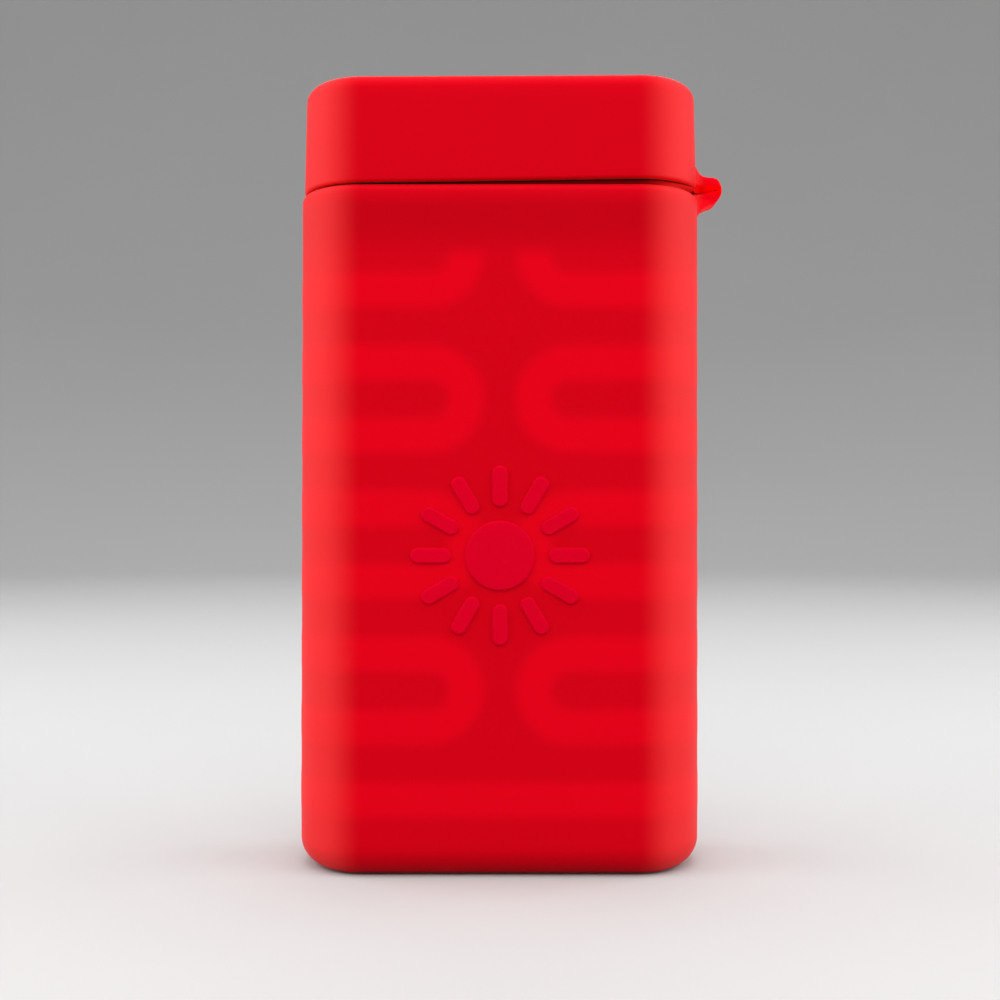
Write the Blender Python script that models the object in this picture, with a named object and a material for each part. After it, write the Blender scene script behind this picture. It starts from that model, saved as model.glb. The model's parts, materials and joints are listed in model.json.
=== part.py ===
"""Rechargeable hand warmer in a silicone sleeve with a hinged silicone cap.

Metres, +Z up. The origin is the middle of the base's flat face, the front faces -Y and the cap's hinge is
at +X. Every level section of the sleeve, the cap and the warmer inside them is the same outline, set in by
a named inset: straight faces front and back, and sides rounded as quarter ellipses with a narrow flat down
the middle.
"""

import math

import bmesh
import bpy
from mathutils import Matrix, Vector
from mathutils.geometry import interpolate_bezier

# Sleeve and cap, from outside
SLEEVE_WIDTH = 0.0580
SLEEVE_HEIGHT = 0.0970
SIDE_ROUND = 0.0093
SIDE_FLAT = 0.0010
BASE_ROUND = 0.0040
LIP_ROUND = 0.0011
SILICONE_WALL = 0.0018
SLEEVE_FLOOR = 0.0020
CAP_GAP = 0.0007
CAP_HEIGHT = 0.0153
CAP_INSET = 0.0002
CAP_DRAFT = 0.0003
CAP_ROUND = 0.0019
CAP_MOUTH_ROUND = 0.0005
CAP_ROOF = 0.0018

# Living hinge on the right side, a folded band moulded in one with the sleeve and the cap
HINGE_WIDTH = 0.0060
HINGE_REACH = 0.00355
HINGE_AXIS_RISE = 0.00148
HINGE_RISE = 0.0018
HINGE_DROP = 0.0022
HINGE_TOP_ROUND = 0.0013
HINGE_BOTTOM_ROUND = 0.0019
HINGE_UPPER_BAND = 0.00115
HINGE_FOLD_WALL = 0.0007
HINGE_FOLD_ROUND = 0.0004
HINGE_BLEND = 0.0008
HINGE_CUT = 0.0003
HINGE_SEAT_GAP = 0.00035
HINGE_AXIS_CLEARANCE = 0.00015

# Raised sun on the front of the sleeve
SUN_DISC_RADIUS = 0.0048
SUN_RAY_START = 0.0069
SUN_RAY_LENGTH = 0.0056
SUN_RAY_WIDTH = 0.0020
SUN_RAYS = 12
SUN_CENTRE_HEIGHT = 0.0452
SUN_RELIEF = 0.0004

# Cells, and the stack of layers from a cell out to the sleeve
CELL_SPACING = 0.0005
CELL_CLEARANCE = 0.00015
CELL_EDGE_ROUND = 0.0008
CELL_BUTTON_RADIUS = 0.0028
PAD_THICKNESS = 0.0004
HEATER_THICKNESS = 0.0002
LAYER_GAP = 0.0001
SHELL_WALL = 0.0011
RIB_HEIGHT = 0.0008
SLEEVE_FIT = 0.00025

# Heating shells and their raised ribs, laid out like a winding heating coil
RIB_WIDTH = 0.0051
RIB_PITCH = 0.01021
FIRST_RIB_HEIGHT = 0.0109
SPINE_HALF_GAP = 0.0022
RIB_END_MARGIN = 0.0003
SHELL_SPLIT_GAP = 0.0002
SEAM_GAP = 0.0003

# Plastic housing at the top, with the sockets, and the plastic base cap
SKIRT_HEIGHT = 0.0082
SHOULDER_DROP = 0.0006
SHOULDER_ROUND = 0.0003
HEAD_ROUND = 0.0030
HEAD_ROOM = 0.0010
HEAD_CLEARANCE = 0.00045
PANEL_THICKNESS = 0.0016
BOARD_BAY_HEIGHT = 0.01085
SPIGOT_LENGTH = 0.0040
BASE_SPIGOT_LENGTH = 0.0016
SPIGOT_WALL = 0.0011
SPIGOT_FIT = 0.00015
BASE_CAP_HEIGHT = 0.0050
BASE_CAP_FLOOR = 0.0016
BASE_CAP_ROUND = 0.0020

# Sockets, button and lights in the top face
PORT_FIT = 0.00015
PORT_RECESS = 0.0002
PORT_LEAST_GAP = 0.0016
PORT_SHELL_WALL = 0.0003
USB_A_WIDTH = 0.0131
USB_A_THICKNESS = 0.0057
USB_A_DEPTH = 0.0140
USB_A_TONGUE_WIDTH = 0.0111
USB_A_TONGUE_THICKNESS = 0.0019
USB_A_BLOCK_DEPTH = 0.0045
USB_A_CORNER = 0.0006
USB_C_WIDTH = 0.0089
USB_C_THICKNESS = 0.0032
USB_C_DEPTH = 0.0074
USB_C_TONGUE_WIDTH = 0.0066
USB_C_TONGUE_THICKNESS = 0.0007
USB_C_BLOCK_DEPTH = 0.0020
TONGUE_SET_BACK = 0.0010
TONGUE_SIDE_GAP = 0.0003
BUTTON_RADIUS = 0.0040
BUTTON_RISE = 0.0006
BUTTON_TRAVEL = 0.0005
BUTTON_FLANGE = 0.0008
BUTTON_FLANGE_THICKNESS = 0.0008
BUTTON_STEM_RADIUS = 0.0014
BUTTON_ROUND = 0.0005
BUTTON_DISH_DEPTH = 0.0003
STEM_GAP = 0.0001
SWITCH_WIDTH = 0.0060
SWITCH_HEIGHT = 0.0036
SWITCH_TO_PANEL = 0.0036
PLUNGER_RADIUS = 0.0010
PLUNGER_RISE = 0.0010
WINDOW_WIDTH = 0.0010
WINDOW_LENGTH = 0.0022
WINDOW_PITCH = 0.0018
GUIDE_BAR_THICKNESS = 0.0012
GUIDE_DROP = 0.0046
LED_HEIGHT = 0.0014
LED_THICKNESS = 0.0007
LED_GAP = 0.0002

# Battery tray, links, board and what is on it
TRAY_FOOT = 0.0042
TRAY_WALL = 0.0018
TRAY_SET_BACK = 0.0031
TRAY_SIDE_ROOM = 0.0045
TRAY_SIDE_CLEARANCE = 0.0003
CELL_END_ROOM = 0.0014
LINK_THICKNESS = 0.0002
LINK_WIDTH = 0.0070
LINK_OVERLAP = 0.0030
TAB_WIDTH = 0.0060
TAB_HEIGHT = 0.0065
TAB_THICKNESS = 0.0018
BOARD_THICKNESS = 0.0012
BOARD_SIDE_MARGIN = 0.0012
BOARD_TOP_GAP = 0.0004
BOARD_CORNER = 0.0012
BOARD_LIFT = 0.0006
CHIP_SIZE = 0.0050
CHIP_THICKNESS = 0.0010
COIL_SIZE = 0.0070
COIL_THICKNESS = 0.0030
CAPACITOR_RADIUS = 0.0020
CAPACITOR_LENGTH = 0.0052
MOUNT_GAP = 0.0001

# Heating films, insulating pads, temperature sensor and leads
HEATER_SIDE_MARGIN = 0.0017
HEATER_CORNER = 0.0020
HEATER_LEAD_GAP = 0.002025
HEATER_END_MARGIN = 0.0016
PAD_INSET = 0.0020
SENSOR_RADIUS = 0.0006
SENSOR_LENGTH = 0.0022
POWER_LEAD_RADIUS = 0.00065
HEATER_LEAD_RADIUS = 0.00050
SENSOR_LEAD_RADIUS = 0.00035

# Screws
SCREW_RADIUS = 0.0008
SCREW_HEAD_RADIUS = 0.0016
SCREW_HEAD_HEIGHT = 0.0009
SCREW_LENGTH = 0.0045
BOARD_SCREW_LENGTH = 0.0026
SCREW_SLOT_WIDTH = 0.0004
SCREW_SLOT_LENGTH = 0.0020
SCREW_SLOT_DEPTH = 0.0005
SCREW_FIT = 0.00015

# How round things are cut into facets, and how far a cutter runs past what it cuts
OVERRUN = 0.0010
SKIN_STEPS = 9
INNER_STEPS = 6
FILLET_STEPS = 4
SMALL_STEPS = 2
ROUND_SIDES = 32
SMALL_ROUND_SIDES = 16
WELD = 0.000002

# Insets of the nested outlines, counted in from the sleeve's outer face
INSET_SLEEVE_INNER = SILICONE_WALL
INSET_RIB = INSET_SLEEVE_INNER + SLEEVE_FIT
INSET_SHELL_OUTER = INSET_RIB + RIB_HEIGHT
INSET_SHELL_INNER = INSET_SHELL_OUTER + SHELL_WALL
INSET_SPIGOT = INSET_SHELL_INNER + SPIGOT_FIT
INSET_CAVITY = INSET_SPIGOT + SPIGOT_WALL
INSET_CAP_INNER = CAP_INSET + SILICONE_WALL

# Across the width, the tray stands clear of the shells and the two cells fill it
TRAY_OUTER_X = SLEEVE_WIDTH / 2 - INSET_SHELL_INNER - TRAY_SIDE_ROOM
TRAY_INNER_X = TRAY_OUTER_X - TRAY_WALL
CELL_DIAMETER = TRAY_INNER_X - TRAY_SIDE_CLEARANCE - CELL_SPACING / 2
CELL_X = (CELL_DIAMETER + CELL_SPACING) / 2
TRAY_HALF_DEPTH = CELL_DIAMETER / 2 - TRAY_SET_BACK
HEATER_WIDTH = SLEEVE_WIDTH - 2 * (SIDE_ROUND + HEATER_SIDE_MARGIN)

# The layers between a cell and the sleeve's face set the depth
HEATER_OUTER = CELL_DIAMETER / 2 + CELL_CLEARANCE + PAD_THICKNESS + LAYER_GAP + HEATER_THICKNESS
SLEEVE_DEPTH = 2 * (HEATER_OUTER + LAYER_GAP + INSET_SHELL_INNER)

# Heights
CAP_BOTTOM = SLEEVE_HEIGHT + CAP_GAP
CAP_TOP = CAP_BOTTOM + CAP_HEIGHT
PANEL_TOP = CAP_TOP - CAP_ROOF - HEAD_ROOM
PANEL_UNDERSIDE = PANEL_TOP - PANEL_THICKNESS
SHOULDER_TOP = SLEEVE_HEIGHT - SHOULDER_DROP
SKIRT_BOTTOM = SLEEVE_HEIGHT - SKIRT_HEIGHT
SHELL_TOP = SKIRT_BOTTOM - SEAM_GAP
WARMER_BOTTOM = SLEEVE_FLOOR + SLEEVE_FIT
BASE_CAP_TOP = WARMER_BOTTOM + BASE_CAP_HEIGHT
BASE_SPIGOT_TOP = BASE_CAP_TOP + BASE_SPIGOT_LENGTH
SHELL_BOTTOM = BASE_CAP_TOP + SEAM_GAP
TRAY_BOTTOM = WARMER_BOTTOM + BASE_CAP_FLOOR + SEAM_GAP
TRAY_TOP = SKIRT_BOTTOM - BOARD_BAY_HEIGHT
TRAY_BAR_BOTTOM = TRAY_TOP - TRAY_WALL
CELL_BOTTOM = TRAY_BOTTOM + TRAY_FOOT + CELL_END_ROOM
CELL_TOP = TRAY_BAR_BOTTOM - CELL_END_ROOM

# The hinge's axis lies along Y, just outside the folded band
HINGE_OUTER_X = SLEEVE_WIDTH / 2 + HINGE_REACH
HINGE_AXIS = Vector((HINGE_OUTER_X + HINGE_AXIS_CLEARANCE, 0, SLEEVE_HEIGHT + HINGE_AXIS_RISE))

# The cap's far wall swings past the head on an arc, so the head is set in by that arc's rise
FAR_WALL_REACH = HINGE_AXIS.x + SLEEVE_WIDTH / 2 - INSET_CAP_INNER
HEAD_STRAIGHT = PANEL_TOP - HEAD_ROUND - HINGE_AXIS.z
SWING_RISE = FAR_WALL_REACH - math.sqrt(FAR_WALL_REACH**2 - HEAD_STRAIGHT**2)
INSET_HEAD = INSET_CAP_INNER + SWING_RISE + HEAD_CLEARANCE

# Across the depth, the board's front face carries the sockets, whose middles are at y = 0
BOARD_FRONT = USB_A_THICKNESS / 2 + MOUNT_GAP
BOARD_BACK = BOARD_FRONT + BOARD_THICKNESS
BOARD_BOTTOM = TRAY_TOP + BOARD_LIFT
FLANGE_TOP = PANEL_UNDERSIDE - PORT_FIT
FLANGE_BOTTOM = FLANGE_TOP - BUTTON_FLANGE_THICKNESS
BOARD_TOP = FLANGE_BOTTOM - BUTTON_TRAVEL - BOARD_TOP_GAP
BOARD_HALF_WIDTH = SLEEVE_WIDTH / 2 - INSET_CAVITY - BOARD_SIDE_MARGIN

RED_SILICONE = (0.75, 0.0, 0.012)
BLACK_PLASTIC = (0.02, 0.02, 0.022)
SILVER_ALLOY = (0.78, 0.78, 0.80)
STEEL = (0.62, 0.62, 0.64)


def spread(widths, low, high):
    """Middles of things of these widths, laid side by side from low to high with equal gaps."""
    gap = (high - low - sum(widths)) / (len(widths) + 1)
    middles = []
    edge = low
    for width in widths:
        middles.append(edge + gap + width / 2)
        edge += gap + width
    return middles


TAB_X = TRAY_OUTER_X - TAB_WIDTH / 2
HEAD_FLAT = SLEEVE_WIDTH / 2 - INSET_HEAD - HEAD_ROUND
WINDOWS_ROOM = 2 * HEAD_FLAT - USB_A_WIDTH - USB_C_WIDTH - 2 * BUTTON_RADIUS - 5 * PORT_LEAST_GAP
WINDOW_COUNT = max(1, 1 + math.floor((WINDOWS_ROOM - WINDOW_WIDTH) / WINDOW_PITCH))
WINDOWS_WIDTH = WINDOW_PITCH * (WINDOW_COUNT - 1) + WINDOW_WIDTH
USB_A_X, WINDOWS_X, USB_C_X, BUTTON_X = spread(
    (USB_A_WIDTH, WINDOWS_WIDTH, USB_C_WIDTH, 2 * BUTTON_RADIUS), -HEAD_FLAT, HEAD_FLAT
)
USB_C_Y = BOARD_FRONT - MOUNT_GAP - USB_C_THICKNESS / 2
BOARD_CLEAR = TAB_X - SCREW_HEAD_RADIUS
CHIP_X, COIL_X, CAPACITOR_X = spread(
    (CHIP_SIZE, COIL_SIZE, 2 * CAPACITOR_RADIUS), -BOARD_CLEAR, BOARD_CLEAR
)
SENSOR_X = (CHIP_X + CHIP_SIZE / 2 + COIL_X - COIL_SIZE / 2) / 2
WINDOW_XS = [WINDOWS_X + WINDOW_PITCH * (i - (WINDOW_COUNT - 1) / 2) for i in range(WINDOW_COUNT)]
SCREW_X = (TRAY_INNER_X + CELL_X) / 2
TAB_SCREW_HEIGHT = TRAY_TOP + TAB_HEIGHT - TAB_WIDTH / 2
SWITCH_TOP = PANEL_UNDERSIDE - SWITCH_TO_PANEL
GUIDE_BOTTOM = PANEL_UNDERSIDE - GUIDE_DROP


def clear_scene():
    for obj in list(bpy.data.objects):
        bpy.data.objects.remove(obj)


def new_collection(name):
    collection = bpy.data.collections.new(name)
    bpy.context.scene.collection.children.link(collection)
    return collection


def material(name, colour, roughness, metallic=0.0):
    made = bpy.data.materials.new(name)
    made.use_nodes = True
    shader = made.node_tree.nodes["Principled BSDF"]
    shader.inputs["Base Color"].default_value = (*colour, 1.0)
    shader.inputs["Roughness"].default_value = roughness
    shader.inputs["Metallic"].default_value = metallic
    return made


def as_object(name, mesh, collection, look=None):
    mesh.name = name
    obj = bpy.data.objects.new(name, mesh)
    collection.objects.link(obj)
    if look:
        mesh.materials.append(look)
    return obj


def finish_mesh(bm):
    """The bmesh as a mesh, shaded smooth with its sharp edges kept."""
    bmesh.ops.recalc_face_normals(bm, faces=bm.faces)
    mesh = bpy.data.meshes.new("shape")
    bm.to_mesh(mesh)
    bm.free()
    mesh.shade_smooth()
    mesh.set_sharp_from_angle(angle=math.radians(35))
    return mesh


def level_edges(bm, height):
    """The edges that lie at one height."""
    return [e for e in bm.edges if all(abs(v.co.z - height) < WELD for v in e.verts)]


def bevel(bm, edges, width, steps):
    bmesh.ops.bevel(
        bm, geom=edges, offset=width, offset_type="OFFSET", segments=steps, profile=0.5,
        affect="EDGES", clamp_overlap=False,
    )


def outline_block(
    inset, bottom, top, steps, bottom_round=0.0, top_round=0.0, draft=0.0, round_steps=FILLET_STEPS
):
    """A solid with the common outline, set in by inset, from bottom to top. Its upright edges are beveled on
    a box whose depth is shrunk so that the bevel is round. Stretching it back makes the quarter ellipses."""
    half_width = SLEEVE_WIDTH / 2 - inset
    half_depth = SLEEVE_DEPTH / 2 - inset
    corner_width = SIDE_ROUND - inset
    corner_depth = half_depth - SIDE_FLAT
    stretch = corner_depth / corner_width
    bm = bmesh.new()
    bmesh.ops.create_cube(bm, size=1.0)
    size = Vector((2 * half_width, 2 * half_depth / stretch, top - bottom))
    bmesh.ops.scale(bm, vec=size, verts=bm.verts)
    bmesh.ops.translate(bm, vec=(0, 0, (top + bottom) / 2), verts=bm.verts)
    upright = [e for e in bm.edges if abs(e.verts[0].co.z - e.verts[1].co.z) > WELD]
    bevel(bm, upright, corner_width, steps)
    bmesh.ops.scale(bm, vec=(1, stretch, 1), verts=bm.verts)
    upper = [v for v in bm.verts if abs(v.co.z - top) < WELD]
    bmesh.ops.scale(bm, vec=(1 - draft / half_width, 1 - draft / half_depth, 1), verts=upper)
    if bottom_round:
        bevel(bm, level_edges(bm, bottom), bottom_round, round_steps)
    if top_round:
        bevel(bm, level_edges(bm, top), top_round, round_steps)
    return finish_mesh(bm)


def box_mesh(low, high, edge_round=0.0, along=None):
    """A box between two corners. along names the axis whose four edges are rounded; without it all are."""
    bm = bmesh.new()
    bmesh.ops.create_cube(bm, size=1.0)
    low, high = Vector(low), Vector(high)
    bmesh.ops.scale(bm, vec=high - low, verts=bm.verts)
    bmesh.ops.translate(bm, vec=(low + high) / 2, verts=bm.verts)
    if edge_round:
        edges = list(bm.edges)
        if along is not None:
            edges = [e for e in edges if abs(e.verts[0].co[along] - e.verts[1].co[along]) > WELD]
        bevel(bm, edges, edge_round, SMALL_STEPS if along is None else FILLET_STEPS)
    return finish_mesh(bm)


def cylinder_mesh(radius, start, end, sides, edge_round=0.0):
    """A closed cylinder between two points."""
    start, end = Vector(start), Vector(end)
    span = end - start
    bm = bmesh.new()
    bmesh.ops.create_cone(
        bm, cap_ends=True, segments=sides, radius1=radius, radius2=radius, depth=span.length
    )
    if edge_round:
        rims = [e for e in bm.edges if abs(e.verts[0].co.z - e.verts[1].co.z) < WELD]
        bevel(bm, rims, edge_round, SMALL_STEPS)
    turn = Vector((0, 0, 1)).rotation_difference(span).to_matrix().to_4x4()
    bmesh.ops.transform(bm, matrix=Matrix.Translation((start + end) / 2) @ turn, verts=bm.verts)
    return finish_mesh(bm)


def arc(centre, radius, start, end, steps):
    """Points along an arc, with angles in degrees, its first and last points included."""
    turns = [math.radians(start + (end - start) * i / steps) for i in range(steps + 1)]
    return [(centre[0] + radius * math.cos(a), centre[1] + radius * math.sin(a)) for a in turns]


def flat_curve_mesh(name, outline, thickness, middle, upright=True):
    """A filled outline given thickness. Upright, it stands in the XZ plane, and otherwise it lies level."""
    curve = bpy.data.curves.new(name, "CURVE")
    curve.dimensions = "2D"
    curve.fill_mode = "BOTH"
    curve.extrude = thickness / 2
    spline = curve.splines.new("POLY")
    spline.points.add(len(outline) - 1)
    for point, (a, b) in zip(spline.points, outline):
        point.co = (a, b, 0, 1)
    spline.use_cyclic_u = True
    turn = Matrix.Rotation(math.pi / 2 if upright else 0, 4, "X")
    return curve_as_mesh(curve, Matrix.Translation(middle) @ turn)


def curve_as_mesh(curve, placed):
    """A curve made a closed mesh, its loose caps welded, and put in place."""
    temporary = bpy.data.objects.new(curve.name, curve)
    bpy.context.scene.collection.objects.link(temporary)
    graph = bpy.context.evaluated_depsgraph_get()
    mesh = bpy.data.meshes.new_from_object(temporary.evaluated_get(graph))
    bpy.data.objects.remove(temporary)
    bm = bmesh.new()
    bm.from_mesh(mesh)
    bmesh.ops.remove_doubles(bm, verts=bm.verts, dist=WELD)
    bmesh.ops.transform(bm, matrix=placed, verts=bm.verts)
    bpy.data.meshes.remove(mesh)
    return finish_mesh(bm)


def boolean(obj, other, operation):
    """Adds a Boolean modifier, and puts its other object among the cutters."""
    modifier = obj.modifiers.new(other.name, "BOOLEAN")
    modifier.operation = operation
    modifier.object = other
    other.hide_render = True
    other.display_type = "WIRE"


def set_origin(obj, point):
    """Moves an object's origin to a point without moving its shape."""
    obj.data.transform(Matrix.Translation(-Vector(point)))
    obj.location = point


class Builder:
    """Holds the two collections, and adds parts and cutters to them."""

    def __init__(self):
        self.parts = new_collection("rechargeable_hand_warmer")
        self.tools = new_collection("cutters")

    def part(self, name, mesh, look):
        return as_object(name, mesh, self.parts, look)

    def cut(self, obj, name, mesh):
        boolean(obj, as_object(name, mesh, self.tools), "DIFFERENCE")

    def join(self, obj, name, mesh):
        boolean(obj, as_object(name, mesh, self.tools), "UNION")

    def keep(self, obj, name, mesh):
        boolean(obj, as_object(name, mesh, self.tools), "INTERSECT")


def hinge_leg(upper):
    """The upper or lower half of the folded band, seen from the front, with heights counted from the hinge's
    axis: out from the wall along the fold's inside, up to the cut, round the outside and back to the wall."""
    sign = 1 if upper else -1
    wall_x = SLEEVE_WIDTH / 2 - (CAP_INSET if upper else 0)
    root_x = wall_x - SILICONE_WALL / 2
    fold_x = HINGE_OUTER_X - HINGE_FOLD_WALL
    if upper:
        face, bend, inside = HINGE_RISE, HINGE_TOP_ROUND, HINGE_RISE - HINGE_UPPER_BAND
    else:
        face, bend, inside = HINGE_DROP, HINGE_BOTTOM_ROUND, HINGE_AXIS.z - CAP_BOTTOM + HINGE_SEAT_GAP
    points = [(root_x, inside)]
    fold_middle = (fold_x - HINGE_FOLD_ROUND, inside - HINGE_FOLD_ROUND)
    points += arc(fold_middle, HINGE_FOLD_ROUND, 90, 0, SMALL_STEPS)
    points += [(fold_x, HINGE_CUT / 2), (HINGE_OUTER_X, HINGE_CUT / 2)]
    points += arc((HINGE_OUTER_X - bend, face - bend), bend, 0, 90, 2 * FILLET_STEPS)
    points += arc((wall_x + HINGE_BLEND, face + HINGE_BLEND), HINGE_BLEND, 270, 180, FILLET_STEPS)
    points.append((root_x, face + HINGE_BLEND))
    return [(x, sign * z) for x, z in points]


def add_sleeve(build, look):
    sleeve = build.part(
        "silicone_sleeve",
        outline_block(0, 0, SLEEVE_HEIGHT, SKIN_STEPS, bottom_round=BASE_ROUND, top_round=LIP_ROUND),
        look,
    )
    build.cut(
        sleeve, "sleeve_hollow",
        outline_block(
            INSET_SLEEVE_INNER, SLEEVE_FLOOR, SLEEVE_HEIGHT + OVERRUN, SKIN_STEPS,
            bottom_round=BASE_ROUND - SILICONE_WALL, round_steps=SMALL_STEPS,
        ),
    )
    build.join(
        sleeve, "hinge_lower_leg",
        flat_curve_mesh("hinge_lower_leg", hinge_leg(False), HINGE_WIDTH, (0, 0, HINGE_AXIS.z)),
    )
    front = -SLEEVE_DEPTH / 2
    middle = Vector((0, front + SUN_RELIEF / 2, SUN_CENTRE_HEIGHT))
    rooted = Vector((0, SUN_RELIEF, 0))
    build.join(
        sleeve, "sun_disc",
        cylinder_mesh(SUN_DISC_RADIUS, middle + rooted, middle - rooted * 1.5, ROUND_SIDES),
    )
    for i in range(SUN_RAYS):
        turn = 2 * math.pi * i / SUN_RAYS
        outline = ray_outline(turn)
        build.join(
            sleeve, f"sun_ray_{i + 1}",
            flat_curve_mesh(f"sun_ray_{i + 1}", outline, 2 * SUN_RELIEF, (0, front, SUN_CENTRE_HEIGHT)),
        )
    return sleeve


def ray_outline(turn):
    """A round-ended bar that points away from the sun's middle."""
    half = SUN_RAY_WIDTH / 2
    near, far = SUN_RAY_START + half, SUN_RAY_START + SUN_RAY_LENGTH - half
    points = arc((far, 0), half, -90, 90, FILLET_STEPS) + arc((near, 0), half, 90, 270, FILLET_STEPS)
    spin = Matrix.Rotation(turn, 2)
    return [tuple(spin @ Vector(p)) for p in points]


def add_cap(build, look):
    cap = build.part(
        "silicone_cap",
        outline_block(
            CAP_INSET, CAP_BOTTOM, CAP_TOP, SKIN_STEPS, bottom_round=CAP_MOUTH_ROUND, top_round=CAP_ROUND,
            draft=CAP_DRAFT, round_steps=FILLET_STEPS,
        ),
        look,
    )
    build.cut(
        cap, "cap_hollow",
        outline_block(
            INSET_CAP_INNER, CAP_BOTTOM - OVERRUN, CAP_TOP - CAP_ROOF, SKIN_STEPS,
            top_round=CAP_ROUND, round_steps=SMALL_STEPS,
        ),
    )
    build.join(
        cap, "hinge_upper_leg",
        flat_curve_mesh("hinge_upper_leg", hinge_leg(True), HINGE_WIDTH, (0, 0, HINGE_AXIS.z)),
    )
    set_origin(cap, HINGE_AXIS)
    return cap


def coil_bend(side, middle_height):
    """One bend of the coil on one side: two ribs that run in from the side and meet in a half circle."""
    outer = (RIB_PITCH + RIB_WIDTH) / 2
    inner = (RIB_PITCH - RIB_WIDTH) / 2
    centre = (SPINE_HALF_GAP + outer, middle_height)
    far = SLEEVE_WIDTH / 2 + OVERRUN
    points = [(far, middle_height + outer)]
    points += arc(centre, outer, 90, 270, 3 * FILLET_STEPS)
    points += [(far, middle_height - outer), (far, middle_height - inner)]
    points += arc(centre, inner, 270, 90, 2 * FILLET_STEPS)
    points.append((far, middle_height + inner))
    return [(side * x, z) for x, z in points]


def rib_pieces():
    """The ribs as upright slabs through the whole depth, with their names."""
    depth = SLEEVE_DEPTH + 2 * OVERRUN
    far = SLEEVE_WIDTH / 2 + OVERRUN
    low, high = FIRST_RIB_HEIGHT - RIB_WIDTH / 2, FIRST_RIB_HEIGHT + RIB_WIDTH / 2
    yield "rib_straight", box_mesh((-far, -depth / 2, low), (far, depth / 2, high))
    middle, i = FIRST_RIB_HEIGHT + RIB_PITCH * 1.5, 0
    while middle - (RIB_PITCH - RIB_WIDTH) / 2 < SHELL_TOP:
        for side, word in ((-1, "left"), (1, "right")):
            name = f"rib_{word}_{i + 1}"
            yield name, flat_curve_mesh(name, coil_bend(side, middle), depth, (0, 0, 0))
        middle += 2 * RIB_PITCH
        i += 1


def add_shell(build, name, front, look):
    """One half of the heating casing: a skin with the coil of ribs on it, cut off at the middle plane."""
    pieces = [as_object(f"{name}_{rib_name}", mesh, build.tools) for rib_name, mesh in rib_pieces()]
    ribs = pieces[0]
    for piece in pieces[1:]:
        boolean(ribs, piece, "UNION")
    build.keep(
        ribs, f"{name}_rib_height",
        outline_block(INSET_RIB, SHELL_BOTTOM + RIB_END_MARGIN, SHELL_TOP - RIB_END_MARGIN, INNER_STEPS),
    )
    shell = build.part(
        name, outline_block(INSET_SHELL_OUTER, SHELL_BOTTOM, SHELL_TOP, INNER_STEPS), look
    )
    boolean(shell, ribs, "UNION")
    build.cut(
        shell, f"{name}_hollow",
        outline_block(INSET_SHELL_INNER, SHELL_BOTTOM - OVERRUN, SHELL_TOP + OVERRUN, INNER_STEPS),
    )
    near, far = SHELL_SPLIT_GAP / 2, SLEEVE_DEPTH
    reach = SLEEVE_WIDTH / 2 + OVERRUN
    low = (-reach, -far if front else near, SHELL_BOTTOM - OVERRUN)
    high = (reach, -near if front else far, SHELL_TOP + OVERRUN)
    build.keep(shell, f"{name}_half", box_mesh(low, high))
    return shell


def add_port_housing(build, look):
    housing = build.part(
        "port_housing",
        outline_block(
            INSET_HEAD, SKIRT_BOTTOM + SEAM_GAP, PANEL_TOP, INNER_STEPS, top_round=HEAD_ROUND
        ),
        look,
    )
    build.join(
        housing, "housing_skirt",
        outline_block(
            INSET_SHELL_OUTER, SKIRT_BOTTOM, SHOULDER_TOP, INNER_STEPS, top_round=SHOULDER_ROUND,
            round_steps=SMALL_STEPS,
        ),
    )
    build.join(
        housing, "housing_spigot",
        outline_block(INSET_SPIGOT, SKIRT_BOTTOM - SPIGOT_LENGTH, SKIRT_BOTTOM + SPIGOT_WALL, INNER_STEPS),
    )
    build.cut(
        housing, "housing_hollow",
        outline_block(
            INSET_CAVITY, SKIRT_BOTTOM - SPIGOT_LENGTH - OVERRUN, PANEL_UNDERSIDE, INNER_STEPS
        ),
    )
    low, high = PANEL_UNDERSIDE - OVERRUN, PANEL_TOP + OVERRUN
    half_width = USB_A_WIDTH / 2 + PORT_FIT
    half_depth = USB_A_THICKNESS / 2 + PORT_FIT
    build.cut(
        housing, "usb_a_opening",
        box_mesh(
            (USB_A_X - half_width, -half_depth, low), (USB_A_X + half_width, half_depth, high),
            USB_A_CORNER, along=2,
        ),
    )
    build.cut(
        housing, "usb_c_opening",
        stadium_mesh(
            USB_C_WIDTH + 2 * PORT_FIT, USB_C_THICKNESS + 2 * PORT_FIT, USB_C_X, USB_C_Y, low, high
        ),
    )
    build.cut(
        housing, "button_opening",
        cylinder_mesh(BUTTON_RADIUS + PORT_FIT, (BUTTON_X, 0, low), (BUTTON_X, 0, high), ROUND_SIDES),
    )
    for i, x in enumerate(WINDOW_XS):
        half = Vector((WINDOW_WIDTH / 2 + PORT_FIT, WINDOW_LENGTH / 2 + PORT_FIT, 0))
        build.cut(
            housing, f"window_opening_{i + 1}",
            box_mesh(Vector((x, 0, low)) - half, Vector((x, 0, high)) + half),
        )
    return housing


def stadium_mesh(width, thickness, x, y, low, high):
    """An upright bar whose level section is a slot with round ends."""
    radius = thickness / 2
    reach = width / 2 - radius
    points = arc((reach, 0), radius, -90, 90, 2 * FILLET_STEPS)
    points += arc((-reach, 0), radius, 90, 270, 2 * FILLET_STEPS)
    return flat_curve_mesh("stadium", points, high - low, (x, y, (low + high) / 2), upright=False)


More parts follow.
